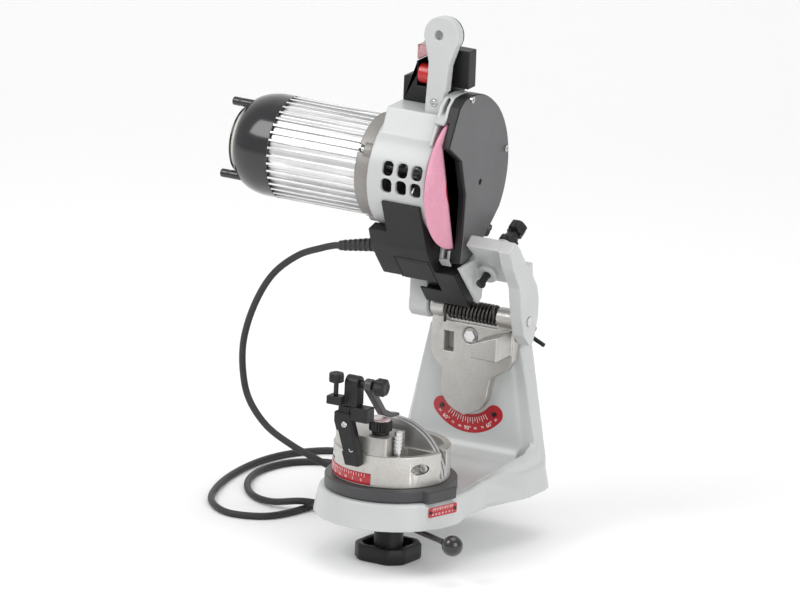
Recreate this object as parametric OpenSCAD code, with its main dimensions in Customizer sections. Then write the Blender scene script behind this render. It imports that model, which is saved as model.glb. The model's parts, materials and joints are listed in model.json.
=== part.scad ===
// Bench sharpener for saw chains: a grinding head with its motor swings down
// on a tilting bracket over a swivelling chain vise, all on one cast base.
// X runs along the motor shaft, +Y points to the back and +Z points up.
// The origin is the middle of the four bench bolts, in the underside of the base.

/* [Base casting] */
// Radius of the round pan at its foot
pan_r = 78.5; // [74:0.5:84]
// Radius of the pan at its lip
pan_top_r = 73; // [69:0.5:80]
// Height of the pan's flat top
pan_h = 27.5; // [25:0.5:34]
// Width of the neck behind the pan
neck_w = 150; // [136:1:160]
// Width over the flared rear of the base
rear_w = 184; // [165:1:220]
// Distance from the vise axis to the back edge
base_back = 190; // [186:1:225]
// Wall thickness of the casting
cast_wall = 6; // [4:0.5:7]
// Draft of the outer walls, measured at the deck
draft = 5; // [2:0.5:7]
// Width of the upright at its foot
upright_w = 147; // [125:1:155]
// Width of the upright at its top
upright_top_w = 106; // [90:1:120]
// Height of the upright's top above the bench
upright_h = 153; // [140:1:185]
// Thickness of the upright from front to back
upright_d = 26; // [24:1:30]

/* [Bench mounting] */
// Distance from the vise axis back to the middle of the bolt pattern
bolt_back = 118; // [110:1:122]
// Spacing of the bench bolts from side to side
bolt_span_x = 120; // [105:1:126]
// Spacing of the bench bolts from front to back
bolt_span_y = 80; // [64:1:90]
// Bore for a bench bolt
bolt_bore_d = 8.4; // [6.4:0.1:9]
// Depth of the bolt bores
bolt_depth = 20; // [14:1:22]

/* [Tilting bracket] */
// Distance from the vise axis back to the upright's front face
face_back = 162; // [160:1:176]
// Height of the tilt pivot
pivot_h = 96; // [88:1:110]
// Diameter of the tilt pivot bolt
pivot_d = 12; // [8:0.5:14]
// Thickness of the bracket
bracket_t = 11.7; // [9:0.1:14]
// Outer width of the bracket's lower lobe
lobe_w = 54; // [44:1:64]
// Gap between the bracket and the upright
slide_gap = 0.3; // [0.2:0.05:0.5]

/* [Head hinge] */
// Distance from the vise axis back to the hinge axis
hinge_back = 153; // [150:0.5:160]
// Height of the hinge axis
hinge_h = 178; // [174:0.5:200]
// Diameter of the hinge shaft
hinge_d = 10; // [8:0.5:12]
// Angle by which the head stands raised
head_raise = 76; // [60:1:85]
// Running clearance on a radius
run_gap = 0.05; // [0.02:0.01:0.09]
// Wire of the return spring
spring_wire = 3; // [2.4:0.1:3.2]
// Mean radius of the return spring
spring_r = 9.4; // [9:0.1:10]
// Number of curls in the return spring
spring_curls = 13; // [10:1:14]

/* [Grinding wheel] */
// Reach from the hinge to the wheel axis with the head down
axle_reach = 150; // [148:1:156]
// Height of the wheel axis above the hinge with the head down
axle_rise = 5; // [2:0.5:8]
// Diameter of the grinding wheel
wheel_d = 145; // [120:1:148]
// Thickness of the grinding wheel
wheel_t = 4.8; // [3.2:0.1:6]
// Bore of the grinding wheel
wheel_bore_d = 22.2; // [20:0.1:24]
// Radius of the guard's round rim
guard_r = 84; // [82:0.5:90]

/* [Motor] */
// Diameter of the motor housing drum
drum_d = 120; // [114:1:122]
// Length of the motor housing drum
drum_len = 67; // [60:1:74]
// Outer diameter of the ribbed barrel
barrel_d = 106; // [96:1:108]
// Length of the ribbed barrel
barrel_len = 103; // [85:1:125]
// Thickness of the barrel's wall under its ribs
barrel_wall = 4; // [3:0.5:5]
// Number of ribs round the barrel
rib_count = 40; // [24:1:48]
// Length of the flange between drum and barrel
flange_len = 18; // [14:1:24]
// Length of the fan cowl
cowl_len = 53; // [46:1:60]
// Diameter of the motor shaft
shaft_d = 14; // [12:0.5:15]
// Outer diameter of the stator core
stator_d = 92; // [84:1:94]
// Bore of the stator core
stator_bore_d = 52; // [46:1:56]
// Length of the stator core
stator_len = 50; // [40:1:56]
// Air gap between rotor and stator
air_gap = 0.5; // [0.4:0.1:1]

/* [Handle and switch] */
// Radius of the handle's round head
handle_r = 20; // [17:0.5:22]
// Thickness of the handle's front shell
handle_t = 12; // [9:0.5:14]
// Width of the hood over the switch
switch_w = 37; // [35:1:38]

/* [Vise] */
// Radius of the vise body
vise_r = 60; // [57:0.5:62]
// Height of the vise body's wall
vise_wall_h = 33; // [29:1:36]
// Thickness of the ring under the vise body
ring_h = 13.5; // [11:0.5:16]
// Outer radius of that ring
ring_r = 68; // [66:0.5:70]
// Diameter of the vise stud
stud_d = 16; // [12:0.5:18]
// Radius of the arched jaws
jaw_r = 62; // [58:0.5:63]
// Thickness of each jaw
jaw_t = 4; // [3:0.25:5]
// Slot between the jaws with the clamp open
jaw_gap = 1.8; // [1.4:0.1:2.2]
// Width across the vise lock knob
lock_knob_w = 64; // [52:1:70]
// Distance of the clamp lever's ball from the vise axis
lever_reach = 113; // [95:1:130]
// Diameter of the ball
ball_d = 22; // [18:0.5:26]

/* [Power cord] */
// Diameter of the cord
cord_d = 7; // [7:0.1:7]
// Length of the strain relief
relief_len = 44; // [44:1:44]

/* [Hidden] */

$fn = 96;
hull_fn = 32;
cut = 60;              // how far a cutting shape runs past what it cuts

paint_grey = "#c9cfd0";
bare_alloy = "#c8c4be";
polished = "#b9bdc1";
black_moulding = "#1d1e20";
dark_grey = "#3a3b3d";
scale_red = "#c31f33";
steel = "#9da2a6";
stone_pink = "#e79ac0";

deck_z = pan_h - 1;
wall_top_front = pan_h - 1;
wall_top_mid = pan_h + 9;
wall_top_back = pan_h + 15;
hub_r = 22;
bolt_boss_r = 11;
pivot_boss_r = 17;
deck_fillet = 19;
face_angle = -17;      // direction of the flat that carries the vise scale
face_reach = 76;       // distance of that flat from the vise axis

drum_r = drum_d / 2;
plate_t = 4;           // guard plate between drum and wheel
drum_x1 = -8;          // drum's end at the guard plate
drum_x0 = drum_x1 - drum_len;
flange_x0 = drum_x0 - flange_len;
barrel_x0 = flange_x0 - barrel_len;
cowl_x0 = barrel_x0 - cowl_len;
barrel_r = barrel_d / 2;
rib_h = 4;
cover_x1 = 13;         // outer face of the wheel cover
cover_band_x = 3.8;    // left edge of the cover's lower band
arm_x0 = -62;          // left cheek of the swing arm
arm_x1 = 71;           // right cheek of the swing arm
ear_l = [-40, -23.5];
ear_r = [36.6, 56];
ear_r_out = 10;
arm_floor = -2;        // underside of the arm's web with the head down
screw_lean = 15;       // lean of the stop screw from upright, head down

ring_z0 = pan_h + slide_gap;
ring_z1 = pan_h + ring_h;
vise_z0 = ring_z1;
vise_z1 = vise_z0 + vise_wall_h;
jaw_z = vise_z0 - 1;   // centre height of the jaws' arch
jaw_foot = vise_z0 + 5;
block_top = vise_z1 + 19;
block_x1 = 22;
slot_back = jaw_gap / 2 + jaw_t + 1.3;
slot_front = -jaw_gap / 2 - jaw_t;
bolt_x = 50;
bolt_z = vise_z0 + 19;

stop_y = -68;          // chain stop's cross shaft
stop_z = 151;
pawl_x = [3.5, 11.5];

// Places: the vise axis stands in front of the bolt pattern.
module placed() {
    translate([0, -bolt_back, 0]) children();
}

// The head is drawn lowered, about its hinge, and then raised.
module on_head() {
    placed() translate([0, hinge_back, hinge_h]) rotate([-head_raise, 0, 0]) children();
}

// Round parts on the motor axis, with their height along +X.
module on_axle(x = 0) {
    on_head() translate([x, -axle_reach, axle_rise]) rotate([0, 90, 0]) children();
}

// A profile in Y and Z, carried along X from x0 to x1.
module along_x(x0, x1) {
    translate([x0, 0, 0]) rotate([90, 0, 90]) linear_extrude(x1 - x0) children();
}

// A profile in X and Z, carried along Y from y0 to y1.
module along_y(y0, y1) {
    translate([0, y1, 0]) rotate([90, 0, 0]) linear_extrude(y1 - y0) children();
}

module ring(r_out, r_in, h) {
    difference() {
        cylinder(r = r_out, h = h);
        translate([0, 0, -1]) cylinder(r = r_in, h = h + 2);
    }
}

module both_sides() {
    children();
    mirror([1, 0, 0]) children();
}

module rounded_plate(w, h, r) {
    translate([r - w / 2, -h / 2]) square([w - 2 * r, h]);
    translate([-w / 2, r - h / 2]) square([w, h - 2 * r]);
    for (x = [-1, 1], y = [-1, 1])
        translate([x * (w / 2 - r), y * (h / 2 - r)]) circle(r = r);
}

module hand_knob(r, h, lobes) {
    cylinder(r = r * 0.86, h = h);
    lobe_r = lobes > 8 ? r * 0.18 : r * 0.3;
    for (i = [0:lobes - 1])
        rotate(i * 360 / lobes) translate([r - lobe_r, 0, h * 0.12]) cylinder(r = lobe_r, h = h * 0.76);
}

module cap_screw(r, h) {
    difference() {
        cylinder(r = r, h = h);
        translate([0, 0, h * 0.45]) cylinder(r = r * 0.5, h = h, $fn = 6);
    }
}

// ---------- base ----------

module post(x, y, r, z0, z1) {
    translate([x, y, z0]) cylinder(r = r, h = z1 - z0, $fn = hull_fn);
}

module rear_block() {
    hull() both_sides() {
        post(neck_w / 2 - 5, 65, 3, 0, 1);
        post(rear_w / 2 - 30, 128, 30, 0, 1);
        post(rear_w / 2 - 26, base_back - 26, 26, 0, 1);
        post(neck_w / 2 - 5 - draft, 66, 3, deck_z - 1, deck_z);
        post(rear_w / 2 - 30, 128, 30 - draft, deck_z - 1, deck_z);
        post(rear_w / 2 - 26, base_back - 26, 26 - draft, deck_z - 1, deck_z);
    }
}

module side_wall() {
    hull() {
        post(neck_w / 2 - draft - 4, 66, 4, deck_z - 8, wall_top_front + 2);
        post(rear_w / 2 - draft - 6, 128, 4, deck_z - 8, wall_top_mid);
        post(rear_w / 2 - draft - 6, face_back, 4, deck_z - 8, wall_top_back);
    }
    hull() {
        post(neck_w / 2 - draft - 3, 16, 3, deck_z - 8, wall_top_front);
        post(neck_w / 2 - draft - 4, 66, 4, deck_z - 8, wall_top_front + 2);
    }
}

module upright() {
    hull() both_sides() {
        post(upright_w / 2 - upright_d / 2, face_back + upright_d / 2, upright_d / 2, deck_z - 4, deck_z);
        post(upright_top_w / 2 - upright_d / 2, face_back + upright_d / 2, upright_d / 2,
            upright_h - 3, upright_h);
    }
}

module upright_profile(inset) {
    polygon([[-upright_w / 2 + inset, deck_z + inset], [upright_w / 2 - inset, deck_z + inset],
        [upright_top_w / 2 - inset, upright_h - inset], [-upright_top_w / 2 + inset, upright_h - inset]]);
}

module base_casting() color(paint_grey) placed() difference() {
    union() {
        difference() {
            union() {
                cylinder(r1 = pan_r, r2 = pan_top_r, h = pan_h);
                along_y(0, 70) polygon([[-neck_w / 2, 0], [neck_w / 2, 0],
                    [neck_w / 2 - draft, deck_z], [draft - neck_w / 2, deck_z]]);
                rear_block();
                both_sides() side_wall();
                upright();
                along_x(13 - upright_w / 2, upright_w / 2 - 13) difference() {
                    translate([face_back - deck_fillet, deck_z - 1]) square([deck_fillet + 2, deck_fillet + 1]);
                    translate([face_back - deck_fillet, deck_z + deck_fillet]) circle(r = deck_fillet);
                }
                rotate(face_angle) translate([face_reach - 8, -20.5, 13]) cube([7.7, 41, 11.6]);
            }
            translate([0, 0, -1]) cylinder(r = pan_top_r - cast_wall, h = pan_h - cast_wall + 1);
            translate([0, 0, -1]) linear_extrude(deck_z - cast_wall + 1) polygon([
                [cast_wall + draft - neck_w / 2, 20], [neck_w / 2 - draft - cast_wall, 20],
                [neck_w / 2 - draft - cast_wall, 68], [rear_w / 2 - draft - cast_wall - 3, 128],
                [rear_w / 2 - draft - cast_wall - 3, base_back - 30],
                [rear_w / 2 - 32, base_back - draft - cast_wall - 1],
                [32 - rear_w / 2, base_back - draft - cast_wall - 1],
                [3 + cast_wall + draft - rear_w / 2, base_back - 30],
                [3 + cast_wall + draft - rear_w / 2, 128], [cast_wall + draft - neck_w / 2, 68]]);
            along_y(face_back + cast_wall, base_back + cut) upright_profile(cast_wall + 3);
        }
        cylinder(r = hub_r, h = pan_h);
        for (x = [-1, 1], y = [-1, 1])
            translate([x * bolt_span_x / 2, bolt_back + y * bolt_span_y / 2, 0])
                cylinder(r = bolt_boss_r, h = deck_z - 1);
        translate([0, face_back + 1, pivot_h]) rotate([-90, 0, 0])
            cylinder(r = pivot_boss_r, h = upright_d - 1);
    }
    for (x = [-1, 1], y = [-1, 1])
        translate([x * bolt_span_x / 2, bolt_back + y * bolt_span_y / 2, -1])
            cylinder(d = bolt_bore_d, h = bolt_depth + 1);
    translate([0, 0, -1]) cylinder(d = stud_d + 2 * run_gap, h = pan_h + 2);
    translate([0, face_back - 1, pivot_h]) rotate([-90, 0, 0])
        cylinder(d = pivot_d + 2 * run_gap, h = upright_d + 2);
}

module vise_scale_plate() color(scale_red) placed()
    rotate(face_angle) translate([face_reach - 0.2, 0, 19]) rotate([90, 0, 90])
        linear_extrude(0.8) rounded_plate(40, 10.5, 2);

scale_in = 30;
scale_out = 49.5;
scale_sweep = 50;      // half of the arc between the scale's end screws

module tilt_scale_plate() color(scale_red) placed()
    translate([0, face_back, pivot_h]) rotate([90, 0, 0]) linear_extrude(slide_gap * 0.7) {
        mid = (scale_in + scale_out) / 2;
        difference() {
            circle(r = scale_out);
            circle(r = scale_in);
            for (s = [-1, 1])
                rotate(-90 + s * (scale_sweep + 90)) translate([-cut * 2, s > 0 ? 0 : -cut * 2])
                    square([cut * 4, cut * 2]);
            translate([-cut, 0]) square([cut * 2, cut]);
        }
        for (s = [-1, 1])
            rotate(-90 + s * scale_sweep) translate([mid, 0]) circle(r = (scale_out - scale_in) / 2);
    }

module scale_screws() color(steel) placed() {
    for (s = [-1, 1])
        translate([0, face_back - slide_gap * 0.7, pivot_h]) rotate([90, 0, 0])
            rotate(-90 + s * scale_sweep) translate([(scale_in + scale_out) / 2, 0, 0]) cap_screw(2.4, 1.4);
    for (s = [-1, 1])
        rotate(face_angle) translate([face_reach + 0.6, s * 17, 19]) rotate([0, 90, 0]) cap_screw(1.8, 0.8);
}

// ---------- vise ----------

module vise_ring() color(dark_grey) placed() {
    difference() {
        union() {
            rotate(face_angle + 180) translate([0, 0, ring_z0]) cylinder(r = ring_r, h = ring_z1 - ring_z0);
            rotate(face_angle) translate([55, -20, ring_z0]) cube([face_reach - 55, 40, ring_z1 - ring_z0]);
        }
        translate([0, 0, ring_z0 - 1]) cylinder(d = stud_d, h = ring_h + 2);
    }
}

module front_sector(r, x0, x1, y0, y1, z0, z1) {
    intersection() {
        translate([0, 0, z0]) cylinder(r = r, h = z1 - z0);
        translate([x0, y0, z0 - 1]) cube([x1 - x0, y1 - y0, z1 - z0 + 2]);
    }
}

module vise_body() color(bare_alloy) placed() difference() {
    union() {
        translate([0, 0, vise_z0]) cylinder(r = vise_r, h = vise_wall_h);
        front_sector(vise_r - 2, -vise_r, block_x1, -vise_r, -14, vise_z1 - 1, block_top);
    }
    translate([-vise_r - 5, slot_front, jaw_foot])
        cube([2 * vise_r + 10, slot_back - slot_front, cut]);
    front_sector(vise_r - 7, block_x1, vise_r, -vise_r, slot_front - 4, jaw_foot + 14, block_top + 1);
    front_sector(vise_r - 7, -46, 46, slot_back + 6, vise_r, jaw_foot + 8, block_top);
    front_sector(vise_r - 9, -44, block_x1 - 8, -vise_r, -24, jaw_foot - 8, jaw_foot + 12);
    translate([0, 0, vise_z0 - 1]) cylinder(d = stud_d, h = 5);
    both_sides() translate([bolt_x, 0, bolt_z]) rotate([90, 0, 0]) {
        cylinder(d = 6, h = cut);
        translate([0, 0, 20]) cylinder(r = 5.4, h = cut);
    }
}

module vise_dial() color(scale_red) placed() intersection() {
    translate([0, 0, vise_z0 + 2]) ring(vise_r + 0.8, vise_r, 12);
    rotate(-126) translate([0, 0, 0]) linear_extrude(cut * 2)
        polygon([[0, 0], [cut * 2, -cut * 0.95], [cut * 2, cut * 0.95]]);
}

module vise_stud() color(steel) placed()
    translate([0, 0, -46]) cylinder(d = stud_d, h = 46 + vise_z0 + 4);

module jaw(y0) {
    intersection() {
        translate([0, y0 + jaw_t, jaw_z]) rotate([90, 0, 0]) cylinder(r = jaw_r, h = jaw_t);
        translate([-jaw_r - 1, y0 - 1, jaw_foot]) cube([2 * jaw_r + 2, jaw_t + 2, jaw_r + cut]);
    }
}

module fixed_jaw() color(polished) placed() difference() {
    jaw(slot_front);
    both_sides() translate([bolt_x, 0, bolt_z]) rotate([90, 0, 0]) cylinder(d = 6, h = cut);
}

module moving_jaw() color(polished) placed() translate([0, 0, 0.3]) jaw(jaw_gap / 2);

module jaw_bolts() color(steel) placed()
    both_sides() translate([bolt_x, slot_front + jaw_t, bolt_z]) rotate([90, 0, 0]) {
        cylinder(d = 6, h = 21);
        translate([0, 0, 20 - jaw_gap / 2]) cap_screw(4.6, 5);
    }

module clamp_post() color(steel) placed() translate([block_x1 + 5, -38, jaw_foot + 14]) {
    cylinder(r = 4.1, h = 38);
    for (i = [0:7]) translate([0, 0, 4 + i * 4]) cylinder(r = 4.7, h = 2);
}

arm_foot = [-9, -66, vise_z0 + 22];
arm_head_z = 112;

module chain_stop_arm() color(black_moulding) placed() difference() {
    union() {
        hull() {
            translate([arm_foot.x - 8, arm_foot.y - 4, arm_foot.z]) cube([16, 11, 10]);
            translate([-28, stop_y - 9, arm_head_z - 2]) cube([18, 9, 10]);
        }
        translate([-24, stop_y - 8, arm_head_z]) cube([34, 16, 15]);
    }
    translate([0, 0, vise_z0 - 1]) cylinder(r = vise_r + 0.1, h = vise_wall_h + 40);
    translate([-24, stop_y - 20, arm_foot.z + 16]) rotate([-8, -13, 0]) cube([5, cut, 22]);
}

block_x = [-18, -3];

module chain_stop_block() color(black_moulding) placed() {
    translate([block_x[0], stop_y - 8, arm_head_z + 15]) cube([block_x[1] - block_x[0], 16, stop_z - arm_head_z - 15]);
    along_x(block_x[0], block_x[1]) translate([stop_y, stop_z]) circle(r = 8);
    translate([-33, stop_y - 18, arm_head_z + 17]) cube([17, 13, 9]);
}

module chain_pawl() color(dark_grey) placed() difference() {
    union() {
        along_x(pawl_x[0], pawl_x[1]) translate([stop_y, stop_z]) circle(r = 7);
        along_x(pawl_x[0], pawl_x[1]) polygon([[stop_y - 4, stop_z - 5.5], [stop_y + 4, stop_z + 5.5],
            [-53, 136], [-38, 119.5], [-22, 112], [-8, 109], [-8, 106], [-24, 107.5], [-42, 114]]);
    }
    translate([pawl_x[0] - 1, stop_y, stop_z]) rotate([0, 90, 0]) cylinder(r = 4 + run_gap, h = 20);
}

module stop_thumb_screw() color(black_moulding) placed() translate([-25, stop_y - 12, 0]) {
    translate([0, 0, arm_head_z + 26]) cylinder(r = 2.5, h = 16);
    translate([0, 0, arm_head_z + 40]) hand_knob(8.4, 10, 6);
}

module cross_knob() color(black_moulding) placed() translate([block_x[1], stop_y, stop_z]) rotate([0, 90, 0]) {
    cylinder(r = 4, h = 18);
    translate([0, 0, 17.5]) hand_knob(9.5, 12.5, 6);
}

module advance_knob() color(black_moulding) placed() translate([7, -40, block_top + 0.3]) {
    cylinder(r = 9, h = 4);
    translate([0, 0, 3]) hand_knob(12, 12, 12);
}

module vise_lock_knob() color(black_moulding) placed() difference() {
    union() {
        translate([0, 0, -48.5]) rotate(-4) linear_extrude(17) intersection() {
            square(lock_knob_w - 4, center = true);
            rotate(45) square(lock_knob_w * 1.12, center = true);
        }
        translate([0, 0, -32]) cylinder(r = 15, h = 16);
    }
    translate([0, 0, -42.5]) ring(25.5, 15, 12);
    translate([0, 0, -50]) cylinder(d = stud_d + 2 * run_gap, h = cut);
}

module clamp_lever() color(black_moulding) placed() difference() {
    union() {
        translate([0, 0, -15]) cylinder(r = 15, h = 14);
        rotate(-26.6) translate([10, 0, -7.5]) rotate([0, 90, 0]) cylinder(r = 3, h = lever_reach - 12);
        rotate(-26.6) translate([lever_reach, 0, -7.5]) sphere(d = ball_d);
    }
    translate([0, 0, -16]) cylinder(d = stud_d + 2 * run_gap, h = 20);
}

// ---------- tilting bracket and hinge ----------

bracket_y1 = face_back - slide_gap;
bracket_y0 = bracket_y1 - bracket_t;
bracket_top = hinge_h - 13;
stop_pad_y = 118;

module tilt_bracket() color(bare_alloy) placed() difference() {
    union() {
        along_y(bracket_y0, bracket_y1) {
            polygon([[ear_l[0], bracket_top], [ear_l[0], pivot_h + 34], [ear_l[0] + 5, pivot_h + 25],
                [-lobe_w / 2 + 1, pivot_h + 16], [-lobe_w / 2, pivot_h], [lobe_w / 2, pivot_h],
                [lobe_w / 2 + 3, pivot_h + 14], [ear_r[1] - 8, pivot_h + 26],
                [ear_r[1] - 1, pivot_h + 36], [ear_r[1], bracket_top]]);
            translate([0, pivot_h]) circle(d = lobe_w);
            polygon([[-6, pivot_h - lobe_w / 2 + 1], [0, pivot_h - lobe_w / 2 - 2],
                [6, pivot_h - lobe_w / 2 + 1]]);
        }
        for (ear = [ear_l, ear_r]) {
            translate([ear[0], hinge_back, hinge_h]) rotate([0, 90, 0])
                cylinder(r = ear_r_out, h = ear[1] - ear[0]);
            translate([ear[0], bracket_y0, bracket_top - 6])
                cube([ear[1] - ear[0], bracket_t, hinge_h - bracket_top + 6]);
        }
        along_y(stop_pad_y, bracket_y0 + 2)
            polygon([[22, 139], [53, 139], [53, 166], [22, 154]]);
    }
    translate([-25, bracket_y0 - 1, 132.5]) cube([10.5, bracket_t + 2, 21]);
    translate([5, bracket_y0 - 1, 152.5]) rotate([-90, 0, 0]) cylinder(r = 8.4, h = 3);
    translate([5, bracket_y0 + 1, 152.5]) rotate([-90, 0, 0]) cylinder(r = 4, h = 10);
    translate([ear_l[0] - 1, hinge_back, hinge_h]) rotate([0, 90, 0]) cylinder(d = hinge_d, h = 120);
    translate([0, bracket_y0 + 4, pivot_h]) rotate([-90, 0, 0]) cylinder(d = pivot_d, h = cut);
    translate([24, stop_pad_y + 4, 130]) cube([27, bracket_y0 - stop_pad_y - 6, 20]);
}

module bracket_bolt() color(steel) placed() translate([5, bracket_y0 + 2, 152.5]) rotate([-90, 0, 0]) {
    cylinder(r = 4, h = 8.9);
    translate([0, 0, -4]) cylinder(r = 6.4, h = 4, $fn = 6);
}

nut_y = face_back + upright_d + 1.5;

module pivot_bolt() color(steel) placed() translate([0, bracket_y0 + 4, pivot_h]) rotate([-90, 0, 0])
    cylinder(d = pivot_d, h = nut_y + 16 - bracket_y0 - 4);

module tilt_lock_lever() color(black_moulding) placed() difference() {
    union() {
        translate([0, nut_y, pivot_h]) rotate([-90, 0, 0]) cylinder(r = 13, h = 12);
        hull() {
            translate([9, nut_y + 2, pivot_h + 6]) rotate([-90, 0, 0]) cylinder(r = 4, h = 8, $fn = hull_fn);
            translate([44, nut_y + 4, 152]) rotate([-90, 0, 0]) cylinder(r = 3, h = 5, $fn = hull_fn);
        }
        translate([44, nut_y + 6.5, 152]) rotate([0, 114, 0]) cylinder(r = 2.2, h = 25);
        translate([52, nut_y + 6.5, 158]) sphere(r = 4.5);
        translate([46, nut_y + 6.5, 153]) rotate([0, 50, 0]) cylinder(r = 2.2, h = 8);
    }
    translate([0, nut_y - 1, pivot_h]) rotate([-90, 0, 0]) cylinder(d = pivot_d + 2 * run_gap, h = cut);
}

module hinge_shaft() color(steel) placed() translate([arm_x0 + 2, hinge_back, hinge_h]) rotate([0, 90, 0])
    cylinder(d = hinge_d, h = arm_x1 - arm_x0 - 1);

module spring_sleeve() color(black_moulding) placed()
    translate([ear_l[1] + 0.3, hinge_back, hinge_h]) rotate([0, 90, 0])
        ring(spring_r - spring_wire / 2 - 0.5, hinge_d / 2, ear_r[0] - ear_l[1] - 0.6);

// ---------- a tube swept along points ----------

function unit(v) = v / norm(v);
function tangent(p, i) = unit(p[min(i + 1, len(p) - 1)] - p[max(i - 1, 0)]);
function turned(n, t) = unit(n - (n * t) * t);
function carried(p, n0) = [for (i = 0, n = turned(n0, tangent(p, 0)); i < len(p);
    i = i + 1, n = i < len(p) ? turned(n, tangent(p, i)) : n) n];
function tube_points(p, r, sides, n0) = let (normals = carried(p, n0))
    [for (i = [0:len(p) - 1], k = [0:sides - 1])
        let (n = normals[i], b = cross(tangent(p, i), n), a = 360 * k / sides)
            p[i] + r * (cos(a) * n + sin(a) * b)];
function tube_faces(count, sides) = concat(
    [[for (k = [0:sides - 1]) sides - 1 - k]],
    [for (i = [0:count - 2], k = [0:sides - 1])
        let (a = i * sides + k, b = i * sides + (k + 1) % sides) [a, b, b + sides]],
    [for (i = [0:count - 2], k = [0:sides - 1])
        let (a = i * sides + k, b = i * sides + (k + 1) % sides) [a, b + sides, a + sides]],
    [[for (k = [0:sides - 1]) (count - 1) * sides + k]]);

module tube(p, r, sides, n0 = [0, 0, 1]) {
    polyhedron(tube_points(p, r, sides, n0), tube_faces(len(p), sides));
}

// Least gap of a wound tube to itself, between points over 3 diameters apart on it.
function own_gap(p, d, skip) = min([for (i = [0:len(p) - 1], j = [i + skip:len(p) - 1])
    if (j < len(p)) norm(p[i] - p[j])]) - d;

spring_rings = 8;
spring_x0 = ear_l[1] + 0.6 + spring_wire / 2;
spring_pitch = (ear_r[0] - ear_l[1] - 1.2 - spring_wire) / spring_curls;
spring_path = concat(
    [[spring_x0, -spring_r, -13], [spring_x0, -spring_r, -13 + spring_wire]],
    [for (i = [0:spring_curls * spring_rings])
        [spring_x0 + i * spring_pitch / spring_rings,
            -spring_r * cos(i * 360 / spring_rings), spring_r * sin(i * 360 / spring_rings)]],
    [[spring_x0 + spring_curls * spring_pitch, -spring_r, 13 - spring_wire],
        [spring_x0 + spring_curls * spring_pitch, -spring_r, 13]]);
echo(spring_gap = own_gap([for (i = [2:len(spring_path) - 3]) spring_path[i]], spring_wire, spring_rings - 1));

module torsion_spring() color(dark_grey) placed() translate([0, hinge_back, hinge_h])
    tube(spring_path, spring_wire / 2, 6, [1, 0, 0]);

// ---------- swing arm, housing and motor ----------

module head_drum(r, x0, x1) {
    translate([x0, -axle_reach, axle_rise]) rotate([0, 90, 0]) cylinder(r = r, h = x1 - x0);
}

cheek_r = 14;
stop_pt = [30, -56, 14];   // where the stop screw passes the arm's web

module swing_arm() color(paint_grey) on_head() difference() {
    union() {
        along_x(arm_x1 - 14, arm_x1) polygon([[-98, -12], [-86, -4], [-72, 2], [-58, 9], [-44, 17],
            [-30, 23], [-14, 24], [4, 19], [20, 9], [27, 3], [27, -3], [12, -12], [-8, -14],
            [-44, -12], [-70, -22], [-92, -26]]);
        along_x(arm_x0, ear_l[0] - 1.5) {
            circle(r = cheek_r);
            polygon([[-92, 14], [-50, 16], [0, cheek_r], [2, -cheek_r], [-40, arm_floor], [-92, arm_floor]]);
        }
        along_x(arm_x0, drum_x1 - plate_t - 0.2)
            polygon([[-96, 18], [-44, 16], [-44, arm_floor], [-96, arm_floor]]);
        along_x(drum_x1 - plate_t - 2, arm_x1)
            polygon([[-60, 18], [-42, 16], [-42, arm_floor], [-60, arm_floor]]);
        along_x(14.5, 19) polygon([[-72, -40], [-66, -2], [-46, 8], [-20, arm_floor], [-16, -10]]);
        translate(stop_pt) rotate([screw_lean, 0, 0]) translate([0, 0, -22]) cylinder(r = 11, h = 44);
        along_x(19, arm_x1) polygon([[-92, -25], [-60, arm_floor], [-60, 8], [-72, 2], [-98, -12]]);
    }
    head_drum(drum_r + 0.1, drum_x0 - 30, drum_x1 + 0.1);
    translate(stop_pt) rotate([screw_lean, 0, 0]) translate([0, 0, -cut]) cylinder(r = 4 + run_gap, h = 2 * cut);
    translate([arm_x0 - 1, 0, 0]) rotate([0, 90, 0]) cylinder(d = hinge_d + 2 * run_gap, h = 160);
}

function arc(cx, cy, r, a0, a1, n) = [for (i = [0:n])
    [cx + r * cos(a0 + (a1 - a0) * i / n), cy + r * sin(a0 + (a1 - a0) * i / n)]];

guard_outline = concat(arc(-157, 5, guard_r, 176, 40, 40),
    [[-84, 42], [-74, 20], [-68, 2], [-64, -18], [-70.5, -30], [-94, -20], [-139, -6],
    [-179, -8], [-204, -29.5], [-236, 0]]);
lower_edge = [[-236, 0], [-204, -29.5], [-179, -8], [-139, -6], [-94, -20], [-70.5, -30]];

module guard_profile() {
    polygon(guard_outline);
}

module vent_slots() {
    for (row = [0, 1], i = [0:2])
        translate([drum_x1 - 10.8 - 16.9 * i, 0, 0]) rotate([head_raise + 2.2 - 17.6 * row, 0, 0])
            translate([0, -drum_r, 0]) rotate([90, 0, 0]) translate([0, 0, -8])
                linear_extrude(16) rounded_plate(12.4, 15, 4.8);
}

module motor_housing() color(paint_grey) difference() {
    union() {
        on_head() difference() {
            union() {
                head_drum(drum_r, drum_x0, drum_x1);
                along_x(drum_x1 - plate_t, drum_x1) guard_profile();
                along_x(drum_x1 - 0.5, 0) difference() {
                    guard_profile();
                    offset(delta = -3.5) guard_profile();
                    polygon(concat(lower_edge, [[-60, -120], [-290, -120], [-290, 30], [-246, 12]]));
                }
            }
            head_drum(drum_r - 5, drum_x0 - 1, drum_x1 - plate_t - 4);
            head_drum(17, drum_x0, drum_x1 + 1);
            translate([0, -axle_reach, axle_rise]) vent_slots();
        }
        difference() {
            placed() along_x(drum_x0 + 3, drum_x1 - plate_t) polygon([[84, 372], [96, pad_z], [150, pad_z], [160, 372]]);
            on_head() head_drum(drum_r - 5, drum_x0 - 1, drum_x1);
        }
    }
    on_axle(0) translate([0, 0, -8]) ring(90, wheel_d / 2 + 2, 8.1 - 4);
    on_axle(0) translate([0, 0, drum_x1 + 0.1]) cylinder(r = wheel_d / 2 + 2, h = 20);
}

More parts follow.
